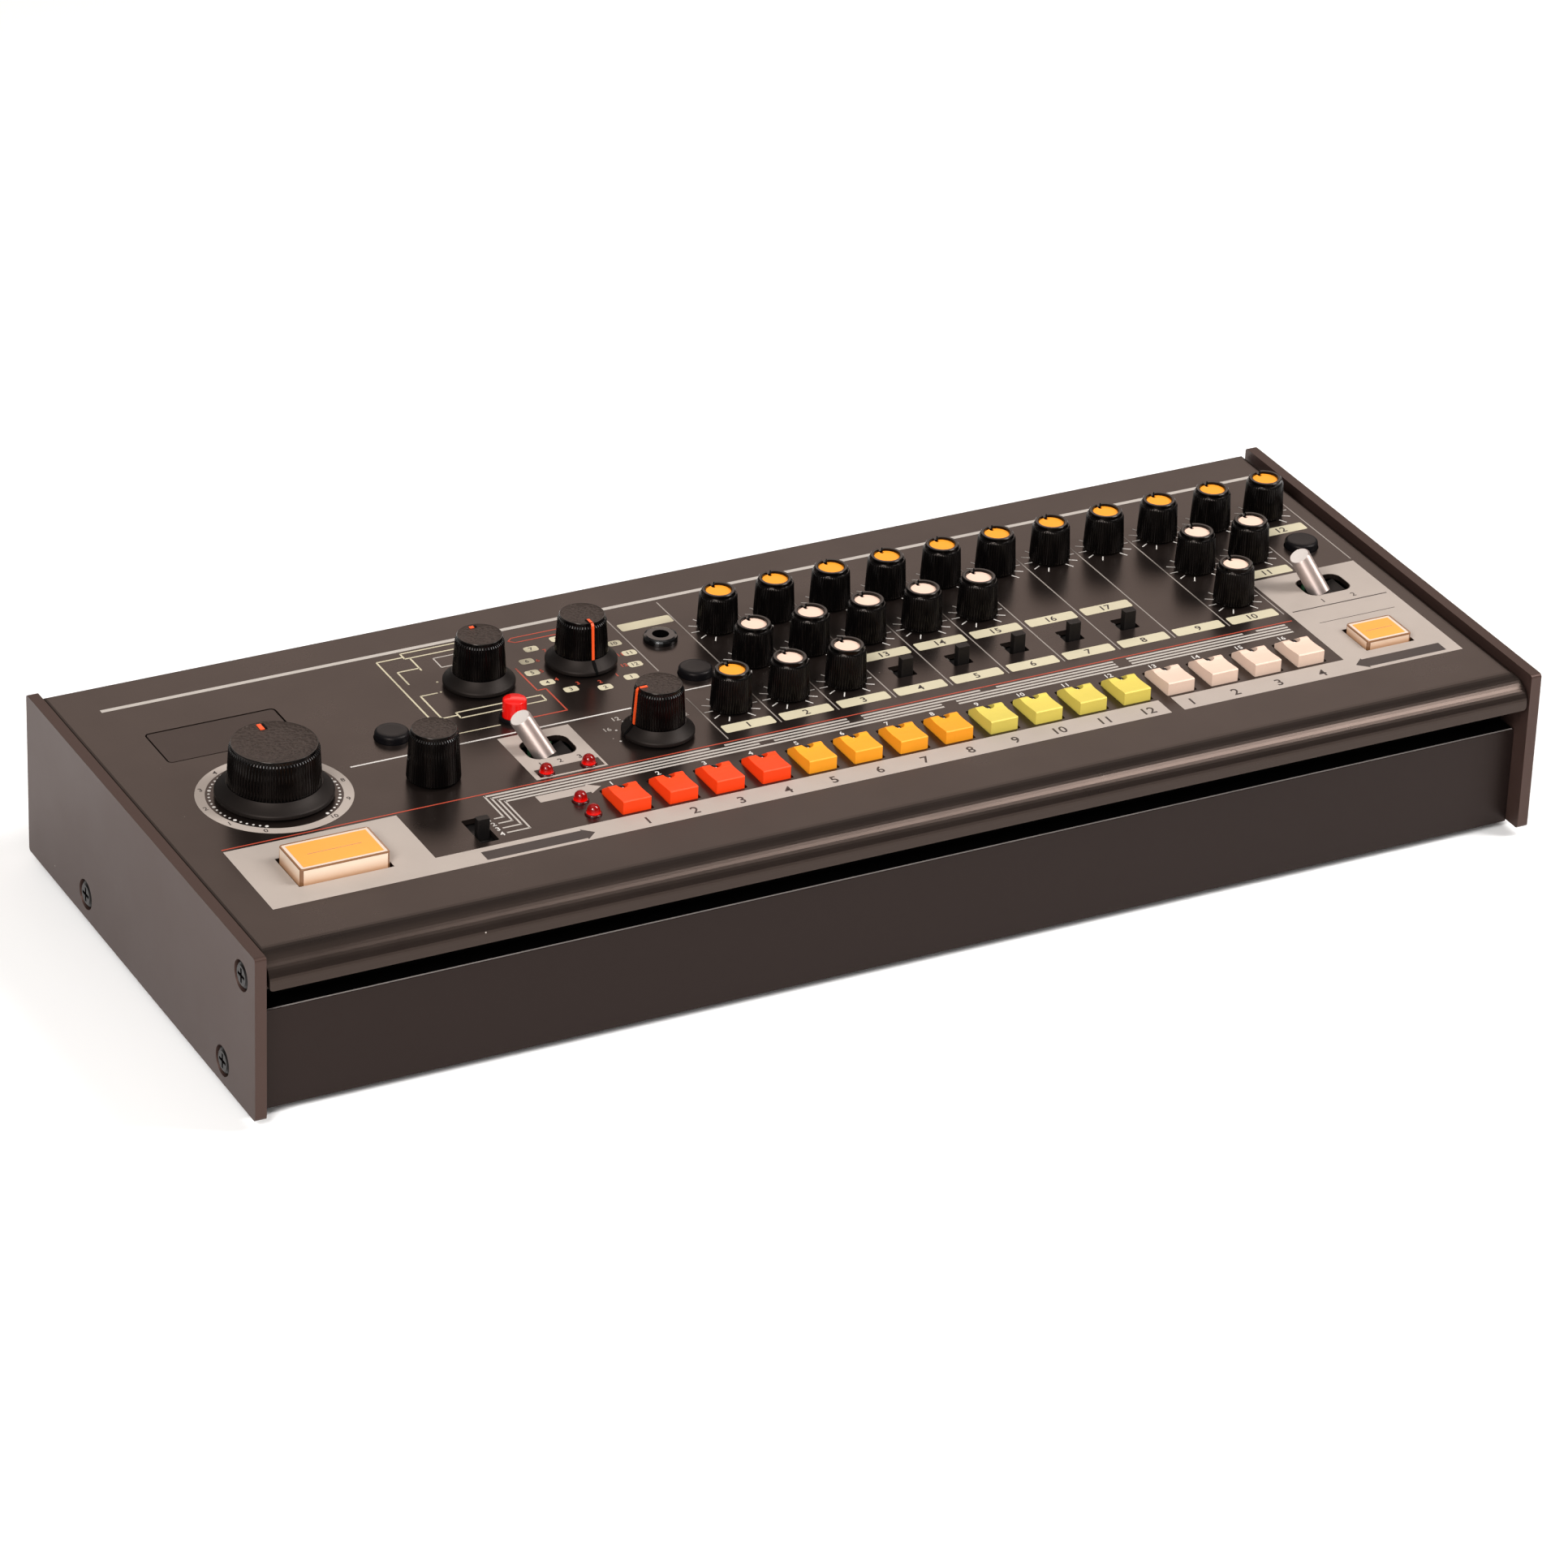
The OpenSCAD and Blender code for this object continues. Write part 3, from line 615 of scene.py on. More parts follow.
@dataclass
class Solid:
    """Gathers the faces of one piece, in millimetres about its own spot."""

    name: str
    points: list[Point3] = field(default_factory=list)
    faces: list[Face] = field(default_factory=list)
    slots: list[int] = field(default_factory=list)

    def add(self, points: list[Point3], faces: list[Face], slot: int = 0) -> None:
        """Adds faces over their own points.

        Args:
            points: The points.
            faces: The faces, which count these points from 0.
            slot: Which of the piece's finishes they take.
        """
        first = len(self.points)
        self.points.extend(points)
        self.faces.extend(tuple(first + i for i in face) for face in faces)
        self.slots.extend([slot] * len(faces))

    def prism(self, outline: Outline, low: float, high: float, slot: int = 0) -> None:
        """Adds a straight prism over an outline that runs anticlockwise.

        Args:
            outline: The outline's points.
            low: The height of its foot.
            high: The height of its top.
            slot: Which of the piece's finishes it takes.
        """
        n = len(outline)
        points = [(x, y, low) for x, y in outline] + [(x, y, high) for x, y in outline]
        sides = [(i, (i + 1) % n, n + (i + 1) % n, n + i) for i in range(n)]
        self.add(points, [tuple(range(n, 2 * n)), tuple(reversed(range(n))), *sides], slot)

    def bar(self, x1: float, x2: float, y1: float, y2: float, low: float, high: float) -> None:
        """Adds a rectangular block."""
        self.prism([(x1, y1), (x2, y1), (x2, y2), (x1, y2)], low, high)

    def line(self, start: Point2, end: Point2, width: float, low: float, high: float, slot: int = 0) -> None:
        """Adds a straight stripe between two points.

        Args:
            start: The middle of its first end.
            end: The middle of its other end.
            width: Its width.
            low: The height of its foot.
            high: The height of its top.
            slot: Which of the piece's finishes it takes.
        """
        along = Vector(end) - Vector(start)
        side = Vector((-along.y, along.x)).normalized() * width / 2
        corners = [Vector(start) - side, Vector(end) - side, Vector(end) + side, Vector(start) + side]
        self.prism([(c.x, c.y) for c in corners], low, high, slot)

    def between(self, inner: Outline, outer: Outline, low: float, high: float) -> None:
        """Adds a flat plate between two outlines with as many points each.

        Args:
            inner: The outline of its opening.
            outer: Its outer outline.
            low: The height of its foot.
            high: The height of its top.
        """
        n = len(inner)
        points = [(x, y, h) for h in (low, high) for rim in (inner, outer) for x, y in rim]
        faces = []
        for i in range(n):
            j = (i + 1) % n
            faces.append((2 * n + i, 3 * n + i, 3 * n + j, 2 * n + j))
            faces.append((i, j, n + j, n + i))
            faces.append((n + i, n + j, 3 * n + j, 3 * n + i))
            faces.append((i, 2 * n + i, 2 * n + j, j))
        self.add(points, faces)

    def turned(self, rings: list[Ring], segments: int, ribs: int = 0, groove: Point3 | None = None) -> None:
        """Adds a shape turned about the middle, with fine ribs where its rings ask for them.

        Args:
            rings: The profile from the foot to the top. A radius of 0 closes the shape.
            segments: Points around the shape.
            ribs: Ribs around the shape.
            groove: Width, inner radius and floor of a groove that runs out to the back.
        """
        rows: list[list[int]] = []
        points: list[Point3] = []
        for ring in rings:
            if ring.r == 0:
                rows.append([len(points)])
                points.append((0.0, 0.0, ring.h))
                continue
            rows.append(list(range(len(points), len(points) + segments)))
            for i in range(segments):
                a = math.tau * (i + 0.5) / segments
                r = ring.r - ring.rib * (1 - math.cos(ribs * a)) / 2
                x, y, h = r * math.cos(a), r * math.sin(a), ring.h
                if groove and abs(x) < groove[0] / 2 and y > groove[1] and h > groove[2]:
                    h = groove[2]
                points.append((x, y, h))
        first = len(self.points)
        self.points.extend(points)
        for lower, upper, ring in zip(rows, rows[1:], rings[1:]):
            for i in range(segments):
                j = (i + 1) % segments
                below = (lower[i % len(lower)], lower[j % len(lower)])
                above = (upper[j % len(upper)], upper[i % len(upper)])
                corners = dict.fromkeys((*below, *above))
                self.faces.append(tuple(first + k for k in corners))
                on_crest = i % POINTS_PER_RIB == POINTS_PER_RIB - 1
                self.slots.append(ring.tip if ring.tip and on_crest else ring.slot)

    def mesh(self, finishes: list[Finish], sharp: float) -> bpy.types.Mesh:
        """Makes the piece's mesh.

        Args:
            finishes: The finishes that the slots number.
            sharp: Edges that turn by more degrees than this stay sharp.

        Returns:
            The mesh, about the piece's own middle.
        """
        made = bpy.data.meshes.new(self.name)
        made.from_pydata([tuple(c * MM for c in p) for p in self.points], [], self.faces)
        for finish in finishes:
            made.materials.append(finish.material())
        made.polygons.foreach_set("material_index", self.slots)
        made.shade_smooth()
        made.set_sharp_from_angle(angle=math.radians(sharp))
        made.update()
        return made

    def build(
        self,
        finishes: list[Finish],
        spot: Vector,
        body: str,
        sharp: float = 35.0,
        stands_for: tuple[str, ...] = (),
    ) -> bpy.types.Object:
        """Makes the piece and puts it on its body.

        Args:
            finishes: The finishes that the slots number.
            spot: Where the piece's own middle lies in the frame.
            body: The body it rides on.
            sharp: Edges that turn by more degrees than this stay sharp.
            stands_for: Nodes that this piece replaces.

        Returns:
            The new object.
        """
        return put(self.mesh(finishes, sharp), self.name, spot, body, stands_for)


def put(
    mesh: bpy.types.Mesh,
    name: str,
    spot: Vector,
    body: str,
    stands_for: tuple[str, ...] = (),
) -> bpy.types.Object:
    """Shows a mesh as a piece on a body.

    Args:
        mesh: The mesh, which several pieces may share.
        name: The piece's name.
        spot: Where its middle lies.
        body: The body it rides on.
        stands_for: Nodes that it replaces.

    Returns:
        The new object.
    """
    made = bpy.data.objects.new(name, mesh)
    bpy.context.scene.collection.objects.link(made)
    made.location = spot
    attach(made, body)
    if stands_for:
        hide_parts(*stands_for)
    return made


def dress(node: str, finish: Finish, round_mm: float = 0.0) -> bpy.types.Object:
    """Gives a frame node its finish, and softens its edges.

    Args:
        node: The node's name.
        finish: Its finish.
        round_mm: Width of the soft edge, or 0 for none.

    Returns:
        The node's object.
    """
    shown = frame["nodes"][node]
    shown.data.materials.clear()
    shown.data.materials.append(finish.material())
    if round_mm:
        weld = shown.modifiers.new("joined_seams", "WELD")
        weld.merge_threshold = 0.002 * MM
        soft = shown.modifiers.new("soft_edges", "BEVEL")
        soft.width = round_mm * MM
        soft.segments = 2
        soft.limit_method = "ANGLE"
        soft.angle_limit = math.radians(40)
        soft.harden_normals = True
    LOG.info("dressed %s in %s", node, finish.name)
    return shown


# Case


@dataclass
class Housing:
    """The sheet-metal case: panel, lower case, end plates, screws and feet."""

    plate_edge: float = 0.3
    case_edge: float = 0.3
    recess_left: float = 3.0
    recess_right: float = 305.0
    recess_front: float = 5.4
    recess_back: float = 10.0
    shelf: float = -14.0
    recess_top: float = -1.3
    rim_width: float = 0.4

    def build(self) -> None:
        """Dresses every part of the case."""
        dress("top_panel", PANEL_PAINT)
        dress("lower_case", CASE_PAINT_SHADED, self.case_edge)
        for side in ("left", "right"):
            dress(f"{side}_end_plate", PLATE_PAINT_LIT, self.plate_edge)
        dress("end_plate_screws", SCREW_BLACK, 0.1)
        dress("rubber_feet", FOOT_RUBBER)
        dress("control_board", BOARD_LACQUER)
        dress("jack_sockets", SOCKET_NYLON)
        self.collar()
        self.recess_liner()

    def collar(self) -> None:
        """Builds the black collar around the red button."""
        ring = Solid("red_button_collar")
        outside = [Ring(2.95, 0.1), Ring(3.3, 0.1), Ring(3.3, 0.9), Ring(3.2, 1.05)]
        inside = [Ring(2.95, 1.08), Ring(2.86, 1.0), Ring(2.86, 0.1)]
        ring.turned([*outside, *inside], segments=64)
        ring.build([BUTTON_ABS], DATUM.point(*RED_BUTTON), CASE)

    def recess_liner(self) -> None:
        """Builds a black liner of painted shade on the recess's shelf and back wall, and a pale strip of
        painted highlight on the rim of its front wall.
        """
        liner = Solid("recess_liner")
        thick = 0.06
        left, right, back = self.recess_left, self.recess_right, self.recess_back
        liner.bar(left, right, self.recess_front, back, self.shelf, self.shelf + thick)
        liner.bar(left, right, back - thick, back, self.shelf + thick, self.recess_top)
        liner.build([RECESS_SHADE_LINER], DATUM.point(0, 0), CASE)
        # Painted highlight: a pale strip along the rim of the front wall
        rim = Solid("front_wall_painted_highlight")
        edge = self.recess_front - self.rim_width
        rim.bar(left, right, edge, self.recess_front, self.shelf - 0.02, self.shelf + 0.03)
        rim.build([RIM_HIGHLIGHT_PAINT], DATUM.point(0, 0), CASE)


# Print


class Ink(Enum):
    """The inks of the panel's print."""

    WHITE = INK_WHITE
    SILVER = INK_SILVER
    DIM = INK_DIM
    GREY = INK_GREY
    CREAM = INK_CREAM
    RED = INK_RED
    DARK = INK_DARK


@dataclass
class PanelPrint:
    """Everything printed on the panel: blocks, stripes, scales, label plates and plain numbers."""

    film: float = 0.03
    over: float = 0.05
    sheets: dict[Ink, Solid] = field(default_factory=dict)

    def sheet(self, ink: Ink) -> Solid:
        """The piece that gathers one ink."""
        return self.sheets.setdefault(ink, Solid(f"print_{ink.name.lower()}"))

    def block(
        self, ink: Ink, x1: float, x2: float, y1: float, y2: float, r: float = 0.0, over: bool = False
    ) -> None:
        """Prints a filled rectangle, with round corners where r is given."""
        shape = round_rect(x1, x2, y1, y2, r) if r else [(x1, y1), (x2, y1), (x2, y2), (x1, y2)]
        self.sheet(ink).prism(shape, 0.0, self.over if over else self.film)

    def stripe(self, ink: Ink, points: list[Point2], width: float, over: bool = False) -> None:
        """Prints a line through several points."""
        for start, end in zip(points, points[1:]):
            self.sheet(ink).line(start, end, width, 0.0, self.over if over else self.film)

    def frame_box(self, ink: Ink, x1: float, x2: float, y1: float, y2: float, width: float) -> None:
        """Prints the outline of a rectangle."""
        self.stripe(ink, [(x1, y1), (x2, y1), (x2, y2), (x1, y2), (x1, y1)], width)

    def number(self, ink: Ink, text: str, middle: Point2, height: float, over: bool = False) -> None:
        """Prints a plain number.

        Args:
            ink: Its ink.
            text: Its digits.
            middle: The middle of the number.
            height: The height of a digit.
            over: Whether it lies on another ink.
        """
        points, faces = digits(text)
        top = self.over if over else self.film
        placed = []
        for x, y, h in points:
            level = top * (1 if h > 0 else 0.1)
            placed.append((middle[0] + x * height, middle[1] + y * height, level))
        self.sheet(ink).add(placed, faces)

    def build(self) -> None:
        """Prints the whole panel and makes one piece of each ink."""
        self.long_lines()
        self.grey_blocks()
        self.stripes()
        self.columns()
        self.tempo_scale()
        self.mode_lines()
        self.instrument_scale()
        self.lever_plate()
        self.key_numbers()
        self.small_marks()
        for ink, solid in self.sheets.items():
            solid.build([ink.value], DATUM.point(0, 0), CASE)
            LOG.info("printed %s with %d faces", solid.name, len(solid.faces))

    def opening(self, ink: Ink, plate: Plan, hole: Plan, r: float) -> None:
        """Prints a rectangle around an opening with round corners.

        Args:
            ink: Its ink.
            plate: Left, right, front and back of the rectangle.
            hole: Left, right, front and back of the opening.
            r: Radius of the opening's corners.
        """
        self.sheet(ink).between(round_rect(*hole, r), round_rect(*plate, 0.05), 0.0, self.film)

    def dot(self, ink: Ink, middle: Point2, r: float) -> None:
        """Prints a round dot."""
        self.sheet(ink).prism(arc(middle, r, 0, 360, 12)[:-1], 0.0, self.film)

    def long_lines(self) -> None:
        """The silver line along the back, the red line behind the stripes and the two short white lines."""
        self.stripe(Ink.SILVER, [(12.8, 112.82), (300.0, 112.82)], 1.15)
        self.stripe(Ink.RED, [(12.6, 46.6), (271.8, 46.6)], 0.32)
        self.stripe(Ink.WHITE, [(51.8, 68.7), (118.3, 68.7)], 0.45)
        self.stripe(Ink.WHITE, [(132.6, 71.3), (139.0, 71.3)], 0.4)

    def grey_blocks(self) -> None:
        """The grey fields under the start cap, the key numbers and the right-hand controls."""
        front, back = 19.8, 45.7
        start = (21.25, 42.75, 26.1, 38.9)
        self.opening(Ink.GREY, (12.6, 52.0, front, back), start, 0.1)
        self.block(Ink.GREY, 52.0, 225.4, front, 25.9)
        self.block(Ink.GREY, 228.6, 272.8, front, 25.9)
        left, right = 272.8, 300.0
        tap = (279.75, 292.25, 27.5, 38.3)
        lever = (281.6, 293.2, 54.75, 63.25)
        self.opening(Ink.GREY, (left, right, front, 45.0), tap, 0.1)
        self.opening(Ink.GREY, (left, right, 45.0, 66.6), lever, 2.6)
        self.stripe(Ink.DARK, [(274.1, 50.0), (298.7, 50.0)], 0.35, over=True)
        self.stripe(Ink.DARK, [(277.0, 43.1), (296.6, 43.1)], 0.18, over=True)
        self.block(Ink.DARK, 61.6, 84.7, 20.75, 24.2, over=True)
        self.sheet(Ink.DARK).prism([(84.7, 20.2), (87.2, 22.45), (84.7, 24.7)], 0.0, self.over)
        self.block(Ink.DARK, 276.5, 296.4, 20.95, 24.4, over=True)
        self.sheet(Ink.DARK).prism([(276.5, 24.9), (274.0, 22.65), (276.5, 20.4)], 0.0, self.over)
        self.block(Ink.GREY, 82.2, 94.0, 38.5, 41.3)
        self.sheet(Ink.GREY).prism([(94.0, 37.8), (97.0, 39.9), (94.0, 42.0)], 0.0, self.film)

    def stripes(self) -> None:
        """The four silver stripes behind the keys, with their breaks, and the steps at their left ends."""
        back, pitch, right = 45.5, 1.17, 269.4
        quarter = [(125.6, 129.2), (158.9, 162.4), (191.8, 195.8), (225.2, 228.6), (258.4, 261.9)]
        third = [(136.5, 140.0), (181.0, 184.6), (225.2, 228.6)]
        breaks = [quarter, [quarter[1], quarter[3]], third, [third[1]]]
        for i, gaps in enumerate(breaks):
            y = back - pitch * i
            left = 72.4 + 1.05 * i
            step = 36.1 - 2.15 * i
            ends = [left, *(x for gap in gaps for x in gap), right]
            for x1, x2 in zip(ends[::2], ends[1::2]):
                self.stripe(Ink.SILVER, [(x1, y), (x2, y)], 0.6)
            self.stripe(Ink.SILVER, [(left, y + 0.3), (left, step)], 0.42)
            self.stripe(Ink.SILVER, [(left + 0.2, step), (70.2, step)], 0.42)
            self.number(Ink.WHITE, str(i + 1), (69.1, step), 1.5)

    def columns(self) -> None:
        """The column dividers, the label plates with their numbers, and the knobs' ticks."""
        first, pitch, width = 131.28, 14.051, 0.3
        for k in range(11):
            front = 47.8 if k == 0 else 50.0
            parts = [(front, 68.0), (81.6, 107.6)] if k == 0 else [(front, 111.0)]
            for low, high in parts:
                x = first + k * pitch
                self.stripe(Ink.DIM, [(x, low), (x, high)], width)
        self.stripe(Ink.DIM, [(285.9, 69.3), (285.9, 80.1)], width)
        self.stripe(Ink.DIM, [(300.0, 67.7), (300.0, 111.0)], width)
        for i in range(10):
            self.label((voice_x(i), 51.9), str(i + 1))
        for n, i in enumerate(SWITCH_COLUMNS):
            self.label((voice_x(i), 68.8), str(13 + n))
        self.label((voice_x(10), 69.3), "11")
        self.label((voice_x(11), 86.4), "12")
        self.block(Ink.CREAM, 132.2, 145.0, 101.4, 104.7, 0.5)

    def label(self, middle: Point2, text: str) -> None:
        """Prints a cream label plate with its voice's number.

        Args:
            middle: The middle of the plate.
            text: The number.
        """
        x, y = middle
        self.block(Ink.CREAM, x - 6.1, x + 6.1, y - 1.7, y + 1.7, 0.5)
        self.number(Ink.DARK, text, middle, 2.1, over=True)

    def knob_ticks(self, middle: Point2) -> None:
        """Eleven ticks around a small knob."""
        for turn in range(-150, 151, 30):
            self.stripe(Ink.WHITE, [clock(middle, 4.4, turn), clock(middle, 6.4, turn)], 0.27)

    def tempo_scale(self) -> None:
        """The grey ring with 0 to 10 and the dotted circle around the tempo knob."""
        middle = DATUM.place_of("tempo_knob")
        rims = [arc(middle, r, 0, 360, 96)[:-1] for r in (14.65, 16.85)]
        self.sheet(Ink.GREY).between(*rims, 0.0, self.film)
        for i in range(11):
            self.number(Ink.DARK, str(i), clock(middle, 15.75, -150 + 30 * i), 1.4, over=True)
        for i in range(51):
            self.dot(Ink.WHITE, clock(middle, 13.85, -150 + 6 * i), 0.4 if i % 5 == 0 else 0.27)

    def mode_lines(self) -> None:
        """The cream brackets on the left of the mode knob, the grey box and the red path on its right."""
        wide, thin = 0.4, 0.3
        self.frame_box(Ink.CREAM, 82.7, 103.0, 108.8, 111.3, wide)
        self.frame_box(Ink.CREAM, 82.6, 103.0, 79.3, 81.9, wide)
        self.stripe(Ink.CREAM, [(82.5, 109.65), (76.3, 109.65), (76.3, 82.2)], wide)
        self.stripe(Ink.CREAM, [(83.9, 108.8), (83.9, 102.5)], wide)
        self.stripe(Ink.CREAM, [(83.9, 103.7), (78.65, 103.7), (78.65, 97.5)], wide)
        self.stripe(Ink.CREAM, [(82.8, 91.7), (78.7, 91.7), (78.7, 80.7), (82.4, 80.7)], wide)
        self.stripe(Ink.CREAM, [(79.1, 73.1), (89.1, 73.1)], thin)
        self.frame_box(Ink.SILVER, 88.5, 97.2, 102.1, 106.6, thin)
        for spot in ((84.8, 96.3), (83.6, 91.8)):
            self.dot(Ink.CREAM, spot, 0.28)
        path = [(103.1, 95.2), (103.1, 84.1), (105.2, 84.1), (105.2, 73.4), (96.9, 73.4)]
        self.stripe(Ink.RED, path, 0.36)
        front, back, right = 106.2, 108.4, 127.0
        flag = [(right, front), (108.2, front), (107.0, 107.3), (108.2, back), (right, back), (right, front)]
        self.stripe(Ink.RED, flag, thin)

    def instrument_scale(self) -> None:
        """Twelve cream plates in an oval and twelve red numbers around the instrument knob."""
        x, y = middle = DATUM.place_of("instrument_knob")
        across, along = (0.0, 7.3, 10.65, 11.8), (12.3, 10.2, 5.3, 0.0)
        for i in range(12):
            turn = 150 + 30 * i
            fold = abs((turn + 90) % 180 - 90) // 30
            east = math.copysign(across[fold], math.sin(math.radians(turn)))
            north = math.copysign(along[fold], math.cos(math.radians(turn)))
            spot = (x + east, y + north)
            self.block(Ink.CREAM, spot[0] - 1.65, spot[0] + 1.65, spot[1] - 1.15, spot[1] + 1.15, 0.7)
            self.number(Ink.DARK, str(i + 1), spot, 1.3, over=True)
            self.number(Ink.RED, str(i + 1), clock(middle, 9.55, turn), 1.3)

    def lever_plate(self) -> None:
        """The grey plate around the rhythm lever, with the dark field of its two lamps."""
        left, right, front, back = 85.65, 102.5, 47.6, 67.5
        slot = (88.4, 99.8, 55.55, 64.35)
        self.opening(Ink.GREY, (left, right, 51.7, back), slot, 2.6)
        self.block(Ink.GREY, left, right, front, 48.15)
        self.block(Ink.GREY, left, 86.8, 48.15, 51.7)
        self.block(Ink.GREY, 102.0, right, 48.15, 51.7)
        for i, x in enumerate((89.4, 94.0, 98.6)):
            self.number(Ink.DARK, str(i + 1), (x, 53.6), 1.6, over=True)
        for i, x in enumerate((283.4, 291.3)):
            self.number(Ink.DARK, str(i + 1), (x, 52.3), 1.6, over=True)

    def key_numbers(self) -> None:
        """Small white numbers behind the keys and large dark ones on the grey strip."""
        first, last_four = 99.6, 232.0
        for i in range(16):
            self.number(Ink.WHITE, str(i + 1), (first + KEY_PITCH * i, 40.2), 1.5)
        for i in range(12):
            self.number(Ink.DARK, str(i + 1), (first + KEY_PITCH * i, 22.5), 2.7, over=True)
        for i in range(4):
            self.number(Ink.DARK, str(i + 1), (last_four + KEY_PITCH * i, 22.5), 2.7, over=True)

    def small_marks(self) -> None:
        """Ticks around the small knobs, and the numbers and dots of the fill knob."""
        rows = ((94.88, range(1, 12)), (77.64, (1, 2, 3, 4, 5, 9, 10)), (60.4, (0, 1, 2, 9)))
        for y, places in rows:
            for i in places:
                self.knob_ticks((voice_x(i), y))
        fill = DATUM.place_of("fill_knob")
        for turn, text in ((-58, "16"), (-30, "12"), (0, "8"), (30, "4"), (60, "2")):
            self.number(Ink.SILVER, text, clock(fill, 10.9, turn), 1.5)
            self.dot(Ink.WHITE, clock(fill, 9.0, turn), 0.28)
        self.dot(Ink.WHITE, clock(fill, 8.9, -90), 0.28)


def digits(text: str) -> tuple[list[Point3], list[Face]]:
    """Turns a plain number into a thin mesh one unit high, about its middle.

    Args:
        text: The digits.

    Returns:
        Its points and its faces.
    """
    curve = bpy.data.curves.new("number", "FONT")
    curve.body = text
    curve.extrude = 0.02
    curve.offset = 0.014
    curve.resolution_u = 3
    holder = bpy.data.objects.new("number", curve)
    bpy.context.scene.collection.objects.link(holder)
    seen = holder.evaluated_get(bpy.context.evaluated_depsgraph_get())
    mesh = seen.to_mesh()
    raw = [tuple(v.co) for v in mesh.vertices]
    faces = [tuple(p.vertices) for p in mesh.polygons]
    seen.to_mesh_clear()
    bpy.data.objects.remove(holder)
    bpy.data.curves.remove(curve)
    xs, ys = [p[0] for p in raw], [p[1] for p in raw]
    height = max(ys) - min(ys)
    middle = ((max(xs) + min(xs)) / 2, (max(ys) + min(ys)) / 2)
    points = [((x - middle[0]) / height, (y - middle[1]) / height, z) for x, y, z in raw]
    return points, faces


# Knobs


class DiscColour(Enum):
    """The coloured discs of the small knobs."""

    ORANGE = DISC_ORANGE
    CREAM = DISC_CREAM


@dataclass
class VoiceKnobs:
    """The small knobs: a ribbed body with a smooth shoulder, a rim and a coloured disc."""

    base_r: float = 4.7
    shoulder_r: float = 4.25
    rim_r: float = 3.75
    disc_r: float = 2.9
    height: float = 9.62
    ribs: int = 48
    rib_depth: float = 0.2
    notch_w: float = 0.9
    meshes: dict[DiscColour, bpy.types.Mesh] = field(default_factory=dict)

    def profile(self) -> list[Ring]:
        """Draws the knob's turned profile.

        Returns:
            Its rings, from the foot to the floor of its recess.
        """
        b, s, top, d = self.base_r, self.shoulder_r, self.height, self.rib_depth
        return [
            Ring(0, 0.55),
            Ring(b - 0.25, 0.55),
            Ring(b, 0.75, d),
            Ring(s + 0.05, top - 1.28, d),
            Ring(s - 0.2, top - 0.98, 0.01),
            Ring(s - 0.26, top - 0.9),
            Ring(self.rim_r + 0.12, top - 0.86),
            Ring(self.rim_r + 0.05, top - 0.76),
            Ring(self.rim_r, top - 0.14),
            Ring(self.rim_r - 0.14, top),
            Ring(self.disc_r + 0.16, top - 0.01),
            Ring(self.disc_r + 0.03, top - 0.1),
            Ring(self.disc_r, top - 0.9),
            Ring(0, top - 0.9),
        ]

    def disc_outline(self) -> Outline:
        """Draws a round disc with a notch at the back for the pointer.

        Returns:
            The disc's outline.
        """
        r, half = self.disc_r - 0.03, self.notch_w / 2
        edge = math.degrees(math.asin(half / r))
        round_end = arc((0, r - 1.0 + half), half, 0, -180, 6)
        return [*arc((0, 0), r, 90 + edge, 450 - edge, 44), *round_end]

    def knob(self, colour: DiscColour) -> bpy.types.Mesh:
        """Makes the mesh of a knob once, and finds it again afterwards.

        Args:
            colour: The colour of its disc.

        Returns:
            The mesh that all knobs of that colour share.
        """
        if colour not in self.meshes:
            solid = Solid(f"voice_knob_{colour.name.lower()}")
            groove = (self.notch_w, self.disc_r - 0.9, self.height - 0.45)
            solid.turned(self.profile(), self.ribs * POINTS_PER_RIB, self.ribs, groove)
            disc = 1
            solid.prism(self.disc_outline(), self.height - 1.0, self.height - 0.55, disc)
            self.meshes[colour] = solid.mesh([KNOB_ABS, colour.value], 30)
        return self.meshes[colour]

    def build(self) -> None:
        """Puts a knob on every voice knob's body."""
        for body in frame["bodies"]:
            if not body.startswith("voice_knob"):
                continue
            orange = "_top_" in body or body.endswith("_00")
            mesh = self.knob(DiscColour.ORANGE if orange else DiscColour.CREAM)
            x, y = DATUM.place_of(body)
            put(mesh, f"{body}_cap", DATUM.point(x, y), body, (body,))
            LOG.info("built %s", body)


class KnobFace(IntEnum):
    """Which of its finishes a face of a large knob takes."""

    GRIP = 0
    SKIRT = 1
    TOP = 2
    POINTER = 3
    # Painted shade beside the pointer and down the skirt
    GROOVE = 4
    RIB_END = 5


